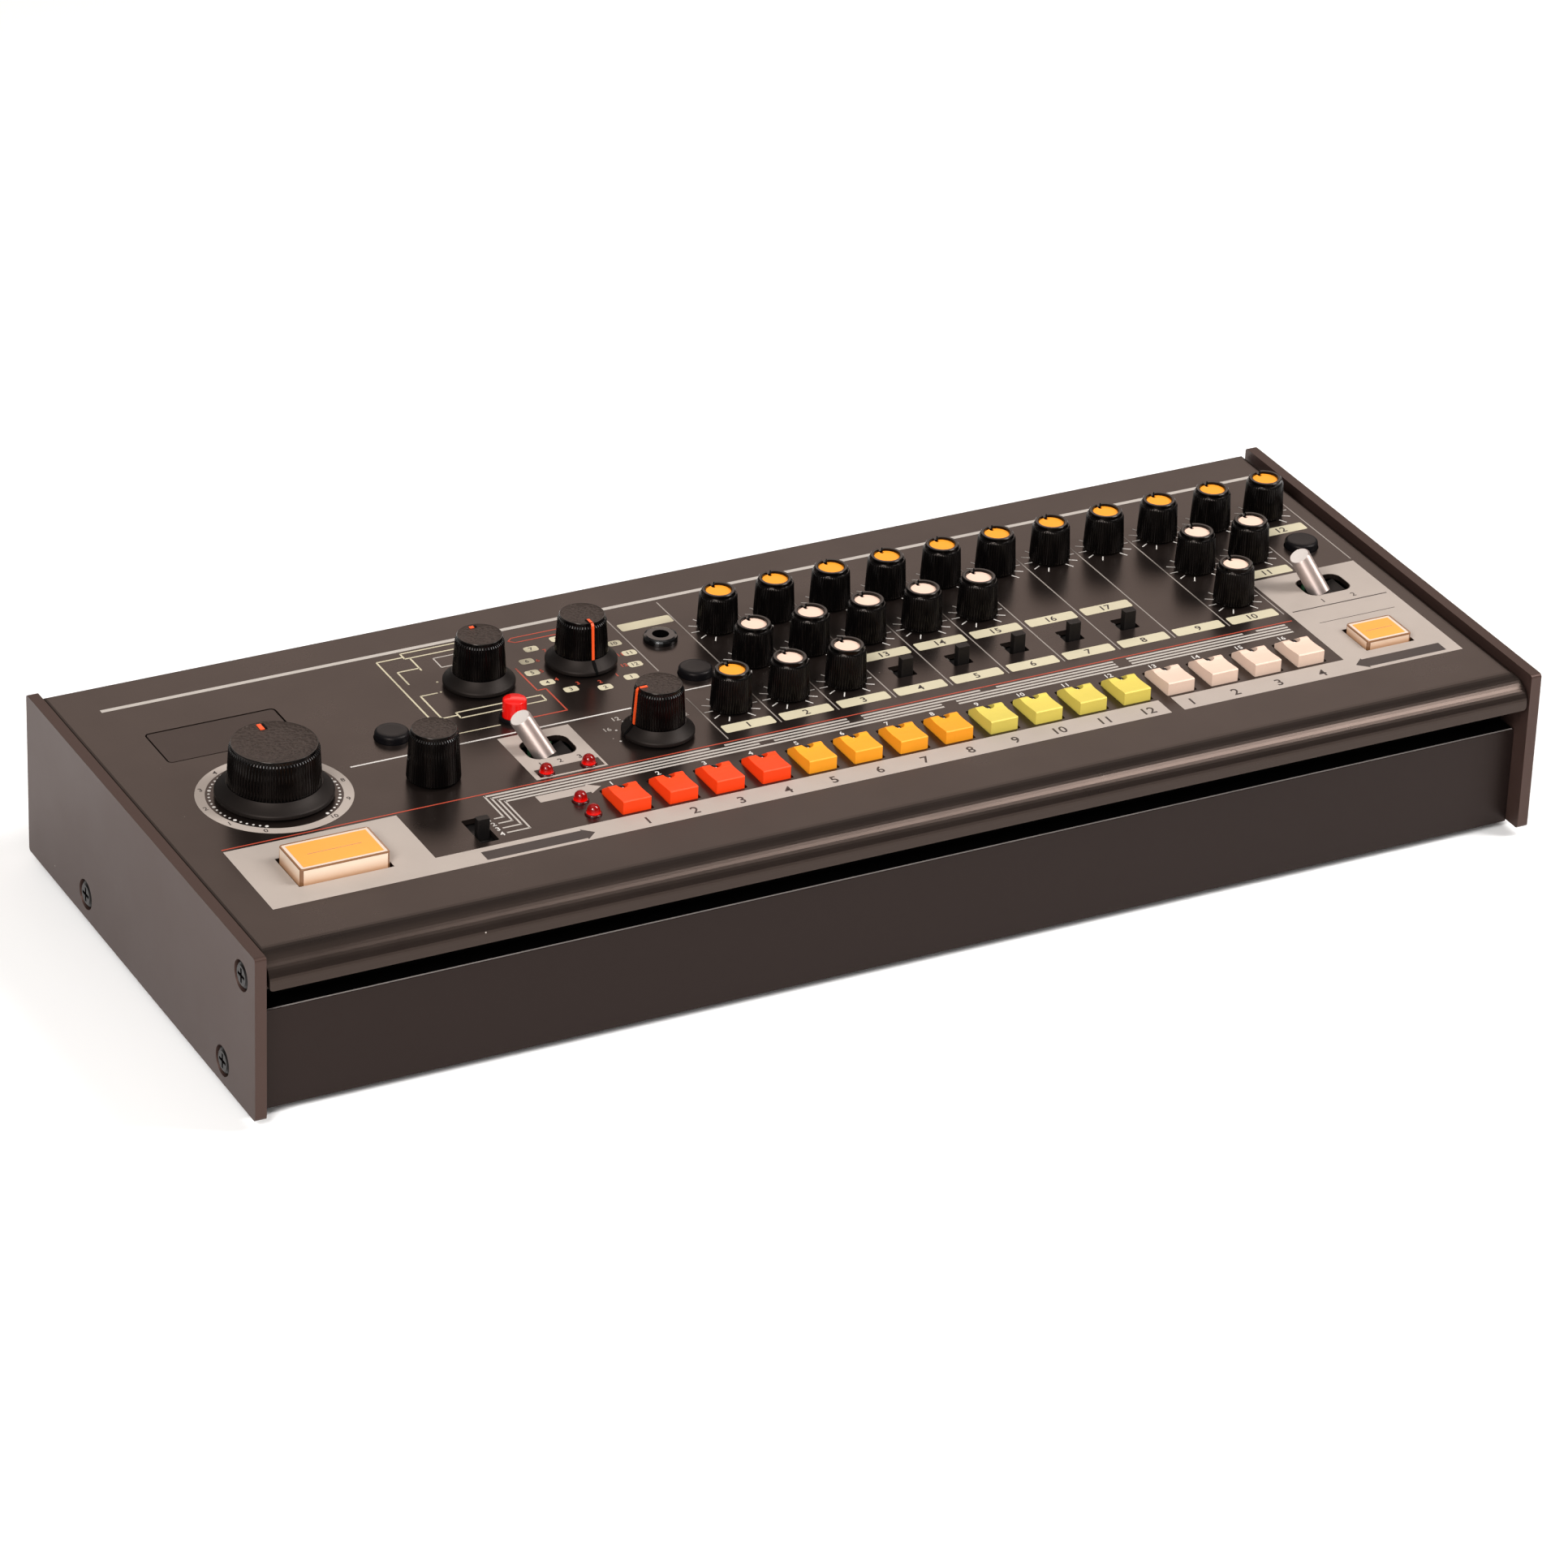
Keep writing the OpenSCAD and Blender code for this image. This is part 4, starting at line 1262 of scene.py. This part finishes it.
@dataclass
class LargeKnob:
    """A large knob: a ribbed grip with a grained top, an optional skirt and a pointer.

    Attributes:
        node: The node it replaces, which also names its body.
        top_r: Radius at the top of the grip.
        grip_r: Radius at the foot of the grip.
        skirt_r: Radius of the skirt, or 0 for none.
        height: Height of the top above the panel.
        ribs: Ribs around the grip.
        pointer: Clockwise angle of the pointer from the back, or None.
        line: Whether the pointer runs down the grip and the skirt.
    """

    node: str
    top_r: float
    grip_r: float
    skirt_r: float
    height: float
    ribs: int
    pointer: float | None = None
    line: bool = False

    def profile(self) -> list[Ring]:
        """Draws the knob's turned profile.

        Returns:
            Its rings, from the foot to the middle of the top.
        """
        rib = 0.26
        g, t, top = self.grip_r, self.top_r, self.height
        if self.skirt_r:
            s = self.skirt_r
            spread = s - g
            foot = [
                Ring(0, 0.55),
                Ring(s - 0.3, 0.55),
                Ring(s, 0.8, 0, KnobFace.SKIRT),
                Ring(s, 1.35, 0, KnobFace.SKIRT),
                Ring(s - 0.1, 1.55, 0, KnobFace.SKIRT),
                Ring(s - 0.35, 1.72, 0, KnobFace.SKIRT),
                Ring(g + spread * 0.62, 2.1, 0, KnobFace.SKIRT),
                Ring(g + spread * 0.3, 2.75, 0, KnobFace.SKIRT),
                Ring(g + 0.12, 3.4, 0, KnobFace.SKIRT),
                Ring(g + 0.04, 3.5, 0, KnobFace.SKIRT),
            ]
        else:
            foot = [Ring(0, 0.55), Ring(g - 0.3, 0.55), Ring(g - 0.1, 0.7)]
        return [
            *foot,
            Ring(g - rib, foot[-1].h + 0.01, 0.01),
            Ring(g, foot[-1].h + 0.12, rib),
            Ring(t + 0.04, top - 1.2, rib),
            Ring(t - 0.34, top - 0.84, 0.01, tip=KnobFace.RIB_END),
            Ring(t - 0.35, top - 0.28),
            Ring(t - 0.38, top - 0.1),
            Ring(t - 0.46, top),
            Ring(t - 0.6, top),
            Ring(t - 0.68, top - 0.04, 0, KnobFace.TOP),
            Ring(t - 0.86, top - 0.12, 0, KnobFace.TOP),
            Ring(t * 0.5, top - 0.16, 0, KnobFace.TOP),
            Ring(0, top - 0.18, 0, KnobFace.TOP),
        ]

    def build(self) -> None:
        """Builds the knob and its pointer."""
        solid = Solid(f"{self.node}_grip")
        solid.turned(self.profile(), self.ribs * POINTS_PER_RIB, self.ribs)
        if self.pointer is not None:
            self.add_pointer(solid)
        x, y = DATUM.place_of(self.node)
        # In the order of KnobFace
        finishes = [KNOB_ABS, SKIRT_ABS, LEATHER_ABS, POINTER_PAINT, GROOVE_SHADE, RIB_END_ABS]
        solid.build(finishes, DATUM.point(x, y), self.node, 30, (self.node,))
        LOG.info("built %s", self.node)

    def add_pointer(self, solid: Solid) -> None:
        """Adds the pointer's painted line with a strip of painted shade beside it for its groove, and on a
        skirted selector its run down the side, with painted shade for the notch in the skirt.

        Args:
            solid: The piece it joins.
        """
        turn = self.pointer or 0.0
        top = self.height
        width = 0.62 if self.line else 1.0
        start = self.top_r * (0.54 if self.line else 0.63)
        end = self.top_r - (0.35 if self.line else 1.2)
        floor = top - 0.2
        inner, outer = clock((0, 0), start, turn), clock((0, 0), end, turn)
        solid.line(inner, outer, width, floor, top + 0.02, KnobFace.POINTER)
        side = Vector(clock((0, 0), 1.0, turn + 90)) * (width * 0.85)
        shade_from = tuple(Vector(inner) + side)
        shade_to = tuple(Vector(outer) + side)
        solid.line(shade_from, shade_to, width * 0.6, floor, top + 0.005, KnobFace.GROOVE)
        if not self.line:
            return
        flank = [(self.top_r - 0.4, top + 0.02), (self.top_r + 0.08, top - 0.5), (self.grip_r + 0.1, 3.6)]
        self.strip(solid, flank, width, turn, KnobFace.POINTER)
        # Painted shade: the notch down the skirt
        skirt = [(self.grip_r + 0.1, 3.6), (self.skirt_r + 0.02, 1.5), (self.skirt_r + 0.03, 0.7)]
        self.strip(solid, skirt, width, turn, KnobFace.GROOVE)

    def strip(self, solid: Solid, path: Outline, width: float, turn: float, slot: int) -> None:
        """Adds a narrow strip that follows the knob's side at one angle.

        Args:
            solid: The piece it joins.
            path: Radii and heights along the strip.
            width: Its width.
            turn: Its clockwise angle.
            slot: Its finish.
        """
        out = Vector((*clock((0, 0), 1.0, turn), 0))
        side = Vector((*clock((0, 0), 1.0, turn + 90), 0)) * width / 2
        points, faces = [], []
        for r, h in path:
            for depth in (0.0, 0.3):
                for sign in (-1, 1):
                    spot = out * (r - depth) + side * sign
                    points.append((spot.x, spot.y, h))
        for i in range(len(path) - 1):
            a, b = 4 * i, 4 * i + 4
            faces.append((a, a + 1, b + 1, b))
            faces.append((a + 1, a + 3, b + 3, b + 1))
            faces.append((a + 2, a, b, b + 2))
            faces.append((a + 3, a + 2, b + 2, b + 3))
        last = 4 * len(path) - 4
        faces.append((0, 2, 3, 1))
        faces.append((last, last + 1, last + 3, last + 2))
        solid.add(points, faces, slot)


# Levers, keys and buttons


@dataclass
class Lever:
    """A tilting lever: an aluminium rod on a black rocker whose wings close its slot."""

    node: str
    place: Point2
    rod_r: float = 2.4
    length: float = 13.75
    drop: float = 3.1
    lean: float = 30.5
    hub_r: float = 2.5
    hub_w: float = 7.2
    wing_w: float = 6.8
    wing_tip: Point2 = (5.0, -0.4)
    wing_t: float = 1.0
    segments: int = 72

    def build(self) -> None:
        """Builds the rod and the rocker, leaning to the left."""
        rod = Solid(f"{self.node}_rod")
        r, top = self.rod_r, self.length
        edge = Ring(r - 0.26, top)
        shaft = [Ring(0, 0.4), Ring(r, 0.4), Ring(r, top - 0.3), Ring(r - 0.1, top - 0.08), edge]
        rod.turned(shaft, self.segments)
        faced = 1
        cap = [edge, Ring(r - 0.5, top - 0.02, slot=faced), Ring(0, top - 0.02, slot=faced)]
        rod.turned(cap, self.segments)
        rocker = Solid(f"{self.node}_rocker")
        self.add_rocker(rocker)
        pivot = DATUM.point(*self.place, -self.drop)
        origin = Vector((0, 0, 0))
        rod_piece = rod.build([LEVER_ALUMINIUM, LEVER_END], origin, self.node, 30, (self.node,))
        rocker_piece = rocker.build([SLIDER_ABS], origin, self.node, 20, (self.node,))
        lean = Matrix.Rotation(math.radians(-self.lean), 4, "Y")
        for piece in (rod_piece, rocker_piece):
            piece.matrix_world = Matrix.Translation(pivot) @ lean
        LOG.info("built %s", self.node)

    def add_rocker(self, solid: Solid) -> None:
        """Adds the rocker: a round hub across the slot and a thin wing on each side of the rod.

        Args:
            solid: The piece it joins.
        """
        half = self.hub_w / 2
        hub = arc((0, 0), self.hub_r, 0, 360, 40)[:-1]
        self.extrude(solid, hub, half)
        x, h = self.wing_tip
        under = h - self.wing_t
        bottom = [(0.0, 0.6), (0.0, under), (x - 0.25, under), (x, under + 0.3)]
        wing = [*bottom, (x, h - 0.12), (x - 0.15, h), (1.6, 0.2)]
        self.extrude(solid, wing, self.wing_w / 2)
        self.extrude(solid, [(-a, b) for a, b in reversed(wing)], self.wing_w / 2)

    def extrude(self, solid: Solid, outline: Outline, half: float) -> None:
        """Adds a shape drawn from the side, as wide as twice its half.

        Args:
            solid: The piece it joins.
            outline: Its outline in x and height.
            half: Half of its width.
        """
        n = len(outline)
        points = [(x, y, h) for y in (-half, half) for x, h in outline]
        sides = [(i, (i + 1) % n, n + (i + 1) % n, n + i) for i in range(n)]
        solid.add(points, [*sides, tuple(reversed(range(n))), tuple(range(n, 2 * n))])


@dataclass
class StepKeys:
    """Sixteen key caps in four colours."""

    colours: tuple[Finish, ...] = (KEY_RED, KEY_ORANGE, KEY_YELLOW, KEY_CREAM)
    edge: float = 0.35

    def build(self) -> None:
        """Dresses every key."""
        for i in range(16):
            dress(f"step_key_{i + 1:02d}", self.colours[i // 4], self.edge)


class CapFace(IntEnum):
    """Which of its finishes a face of a push cap takes."""

    BODY = 0
    EDGE = 1
    INSERT = 2
    BORDER = 3


@dataclass
class PushCap:
    """A rectangular cap: a milky body with brown edges, a cream border and an orange insert."""

    node: str
    width: float
    depth: float
    height: float
    foot: float = -2.9
    edge: float = 0.5
    border: float = 1.1
    corner: float = 0.8

    def around(self, inset: float) -> Outline:
        """The cap's outline, drawn in by some width."""
        w, d = self.width / 2 - inset, self.depth / 2 - inset
        return round_rect(-w, w, -d, d, max(0.1, self.corner - inset))

    def build(self) -> None:
        """Builds the cap in its four finishes."""
        top = self.height
        cap = Solid(f"{self.node}_cap")
        cap.prism(self.around(0.03), self.foot, top - 0.2, CapFace.BODY)
        cap.prism(self.around(self.edge - 0.1), top - 0.6, top - 0.07, CapFace.BORDER)
        cap.prism(self.around(self.border), top - 0.1, top - 0.03, CapFace.INSERT)
        rule = self.width * 0.3
        cap.line((-rule, 0.0), (rule, 0.0), 0.17, top - 0.05, top - 0.02, CapFace.EDGE)
        self.add_frame(cap)
        self.add_corners(cap)
        x, y = DATUM.place_of(self.node)
        # In the order of CapFace
        finishes = [CAP_CREAM, CAP_EDGE, CAP_ORANGE, CAP_BORDER]
        cap.build(finishes, DATUM.point(x, y), self.node, 35, (self.node,))
        LOG.info("built %s", self.node)

    def add_frame(self, cap: Solid) -> None:
        """Adds the brown frame around the top, with a soft outer edge.

        Args:
            cap: The cap it joins.
        """
        top = self.height
        outside = [(0.0, -0.3), (0.0, -0.16), (0.06, -0.05), (0.2, 0.0)]
        steps = [*outside, (self.edge - 0.1, 0.0), (self.edge, -0.15)]
        rings = [self.around(inset) for inset, _ in steps]
        n = len(rings[0])
        points = [(x, y, top + drop) for ring, (_, drop) in zip(rings, steps) for x, y in ring]
        faces = []
        for k in range(len(steps) - 1):
            for i in range(n):
                j = (i + 1) % n
                faces.append((k * n + i, k * n + j, (k + 1) * n + j, (k + 1) * n + i))
        last = (len(steps) - 1) * n
        faces.extend((last + i, last + (i + 1) % n, (i + 1) % n, i) for i in range(n))
        cap.add(points, faces, CapFace.EDGE)

    def add_corners(self, cap: Solid) -> None:
        """Adds the brown line down each upright corner.

        Args:
            cap: The cap it joins.
        """
        r = self.corner - 0.02
        w, d = self.width / 2 - self.corner, self.depth / 2 - self.corner
        for x, y, start in ((w, d, 0), (-w, d, 90), (-w, -d, 180), (w, -d, 270)):
            outer = arc((x, y), r + 0.02, start + 10, start + 80, 5)
            inner = arc((x, y), r - 0.3, start + 80, start + 10, 5)
            cap.prism([*outer, *inner], self.foot, self.height - 0.25, CapFace.EDGE)


@dataclass
class RoundButtons:
    """Three round black buttons and the red one, which go down together."""

    node: str = "function_buttons"
    places: tuple[Point2, ...] = ((65.4, 77.4), (VOICE_X, 77.64), (292.85, 77.64))
    foot: float = -2.9
    red_r: float = 2.65

    def build(self) -> None:
        """Builds the four caps."""
        black = Solid("function_buttons_black")
        shape = [
            Ring(0, self.foot),
            Ring(3.8, self.foot),
            Ring(3.8, 0.95),
            Ring(3.76, 1.25),
            Ring(3.62, 1.52),
            Ring(3.4, 1.71),
            Ring(3.1, 1.8),
            Ring(2.2, 1.78),
            Ring(0, 1.74),
        ]
        for x, y in self.places:
            cap = Solid("cap")
            cap.turned(shape, segments=72)
            black.add([(px + x, py + y, h) for px, py, h in cap.points], cap.faces)
        black.build([BUTTON_ABS], DATUM.point(0, 0), self.node, 40, (self.node,))
        red = Solid("function_buttons_red")
        r = self.red_r
        side = [Ring(0, self.foot), Ring(r, self.foot), Ring(r, 4.45)]
        red.turned([*side, Ring(r - 0.08, 4.8), Ring(r - 0.35, 5.0), Ring(0, 5.0)], segments=64)
        red.build([RED_ABS], DATUM.point(*RED_BUTTON), self.node, 40, (self.node,))
        LOG.info("built %s", self.node)


@dataclass
class SlideSwitches:
    """The slide grips, and the grey marks in the voice slots."""

    columns: tuple[int, ...] = SWITCH_COLUMNS

    def build(self) -> None:
        """Dresses the grips and adds the marks."""
        dress("prescale_slider", SLIDER_ABS, 0.15)
        dress("selector_sliders", SLIDER_ABS, 0.15)
        marks = Solid("voice_switch_marks")
        for i in self.columns:
            x = voice_x(i)
            marks.bar(x - 2.2, x - 1.55, 61.6, 62.7, -1.5, -0.6)
        marks.build([MARK_GREY], DATUM.point(0, 0), CASE)


@dataclass
class Lamps:
    """The red lamps on the panel and the dark step lamps in the keys."""

    red: tuple[Point2, ...] = ((88.9, 49.8), (98.9, 49.8), (90.3, 36.0), (90.3, 29.7))
    red_r: float = 1.42
    red_h: float = 2.4
    red_flange: float = 1.88
    step_r: float = 1.0
    step_h: float = 2.1
    first_step: Point2 = (99.4, 35.1)

    def dome(self, r: float, top: float, flange: float) -> Solid:
        """A lens: a round foot, a side that spreads like a bell and a dome.

        Args:
            r: Radius where the dome starts.
            top: Height of the dome.
            flange: Radius of the foot, or 0 where the lens stands in a hole.

        Returns:
            The lens about its own middle.
        """
        solid = Solid("dome")
        foot = [Ring(0, -3.0), Ring(r, -3.0), Ring(r, 0.0)]
        if flange:
            dark = 1
            foot += [Ring(flange, 0.0, slot=dark), Ring(flange, 0.22, slot=dark)]
            foot += [Ring(flange - 0.08, 0.32, slot=dark), Ring(r + 0.12, 0.38, slot=dark)]
            foot += [Ring(r + 0.05, 0.6), Ring(r, 0.9)]
        start = foot[-1].h if flange else top - r
        climb = top - start
        turns = [math.radians(8 * i) for i in range(1, 11)]
        curve = [Ring(r * math.cos(a), start + climb * math.sin(a)) for a in turns]
        solid.turned([*foot, *curve, Ring(0, top)], segments=48)
        return solid

    def group(self, name: str, dome: Solid, places: Outline, finishes: list[Finish]) -> None:
        """Puts one lens at each place and makes one piece of them.

        Args:
            name: The piece's name.
            dome: The lens.
            places: Where the lenses stand.
            finishes: The finishes that the lens's slots number.
        """
        solid = Solid(name)
        for x, y in places:
            solid.add([(px + x, py + y, h) for px, py, h in dome.points], dome.faces)
        solid.slots = dome.slots * len(places)
        solid.build(finishes, DATUM.point(0, 0), CASE, 40, ("lamps",))
        LOG.info("built %s", name)

    def build(self) -> None:
        """Builds both kinds of lamp."""
        red = self.dome(self.red_r, self.red_h, self.red_flange)
        self.group("red_lamps", red, list(self.red), [LENS_RED, LENS_FOOT])
        x, y = self.first_step
        steps = [(x + KEY_PITCH * i, y) for i in range(16)]
        self.group("step_lamps", self.dome(self.step_r, self.step_h, 0), steps, [LENS_SMOKE])


# Studio


@dataclass
class Studio:
    """The floor, the lights and the camera."""

    camera_at: Point3 = (-0.630919, -1.168642, 0.747864)
    azimuth: float = -28.324
    elevation: float = 28.866
    roll: float = 2.265
    lens: float = 158.518
    sensor: float = 36.0

    def build(self) -> None:
        """Builds the studio."""
        self.floor()
        self.lights()
        self.camera()

    def floor(self) -> None:
        """A plain pale floor."""
        half = 6.0
        mesh = bpy.data.meshes.new("studio_floor")
        corners = [(-half, -half, 0), (half, -half, 0), (half, half, 0), (-half, half, 0)]
        mesh.from_pydata(corners, [], [(0, 1, 2, 3)])
        mesh.materials.append(FLOOR_PAPER.material())
        plane = bpy.data.objects.new("studio_floor", mesh)
        bpy.context.scene.collection.objects.link(plane)

    def softbox(
        self, name: str, at: Point3, aim: Point3, size: Point2, watts: float, colour: str = "#ffffff"
    ) -> None:
        """Adds a rectangular soft light.

        Args:
            name: Its name.
            at: Where it hangs.
            aim: What it points at.
            size: Its width and height.
            watts: Its power.
            colour: Its colour.
        """
        light = bpy.data.lights.new(name, "AREA")
        light.shape = "RECTANGLE"
        light.size, light.size_y = size
        light.energy = watts
        light.color = linear(colour)[:3]
        holder = bpy.data.objects.new(name, light)
        bpy.context.scene.collection.objects.link(holder)
        holder.location = at
        holder.rotation_mode = "QUATERNION"
        holder.rotation_quaternion = (Vector(aim) - Vector(at)).to_track_quat("-Z", "Y")

    def lights(self) -> None:
        """Lights the scene with a ceiling box, two small keys, a long back box and a front box."""
        middle = (0, 0, 0.03)
        self.softbox("ceiling_box", (-0.45, 0.1, 1.9), (-0.1, 0, 0), (1.9, 2.2), 8.0, "#fffaf4")
        self.softbox("right_key", (0.73, -0.36, 0.87), middle, (0.35, 0.75), 14.0)
        self.softbox("left_key", (-0.78, -0.68, 0.81), middle, (0.42, 0.42), 14.0)
        self.softbox("back_box", (0.6, 1.16, 0.72), middle, (1.3, 0.5), 2.65, "#ffe7da")
        self.softbox("front_box", (-1.1, -1.7, 1.0), middle, (1.6, 1.2), 13)
        world = bpy.data.worlds.new("studio_air")
        bpy.context.scene.world = world
        world.use_nodes = True
        tree = world.node_tree
        tree.nodes.clear()
        sky = add_node(tree, "ShaderNodeBackground", {"Color": linear("#fbf8f5"), "Strength": 0.17})
        add_node(tree, "ShaderNodeOutputWorld", links={"Surface": sky.outputs["Background"]})
        bpy.context.scene.view_settings.view_transform = "Standard"

    def camera(self) -> None:
        """Places the camera by its azimuth, elevation and roll."""
        a, e, r = (math.radians(v) for v in (self.azimuth, self.elevation, self.roll))
        back = Vector((math.sin(a) * math.cos(e), -math.cos(a) * math.cos(e), math.sin(e)))
        right = (-back).cross(Vector((0, 0, 1))).normalized()
        up = right.cross(-back)
        rolled_right = math.cos(r) * right + math.sin(r) * up
        rolled_up = math.cos(r) * up - math.sin(r) * right
        turn = Matrix((rolled_right, rolled_up, back)).transposed().to_4x4()
        data = bpy.data.cameras.new("camera")
        data.lens = self.lens
        data.sensor_width = self.sensor
        data.clip_start, data.clip_end = 0.05, 30
        holder = bpy.data.objects.new("camera", data)
        bpy.context.scene.collection.objects.link(holder)
        holder.matrix_world = Matrix.Translation(self.camera_at) @ turn
        bpy.context.scene.camera = holder


def clear_defaults() -> None:
    """Removes the objects that a new Blender file starts with."""
    for name in ("Cube", "Light", "Camera"):
        spare = bpy.data.objects.get(name)
        if spare:
            bpy.data.objects.remove(spare)


def main() -> None:
    """Builds the machine's pieces in order."""
    logging.basicConfig(level=logging.INFO, format="%(message)s")
    clear_defaults()
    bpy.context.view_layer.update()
    studio = Studio()
    studio.build()
    selector = {"top_r": 5.4, "grip_r": 5.95, "skirt_r": 8.0, "height": 12.2, "ribs": 54}
    knobs = [
        LargeKnob("tempo_knob", top_r=9.7, grip_r=10.2, skirt_r=12.8, height=12.6, ribs=82, pointer=0),
        LargeKnob("mode_knob", **selector, pointer=-3),
        LargeKnob("instrument_knob", **selector, pointer=180, line=True),
        LargeKnob("fill_knob", **selector, pointer=-90, line=True),
        LargeKnob("value_knob", top_r=5.3, grip_r=5.95, skirt_r=0, height=12.1, ribs=54),
    ]
    parts = [
        Housing(),
        PanelPrint(),
        VoiceKnobs(),
        *knobs,
        Lever("rhythm_lever", (94.25, 59.85)),
        Lever("fill_lever", (287.45, 59.0)),
        StepKeys(),
        PushCap("start_button", width=20.4, depth=11.7, height=3.5),
        PushCap("tap_button", width=11.4, depth=9.7, height=1.8),
        RoundButtons(),
        SlideSwitches(),
        Lamps(),
    ]
    for part in parts:
        part.build()
    dress("display_window", WINDOW_TINT)


if __name__ == "__main__":
    main()
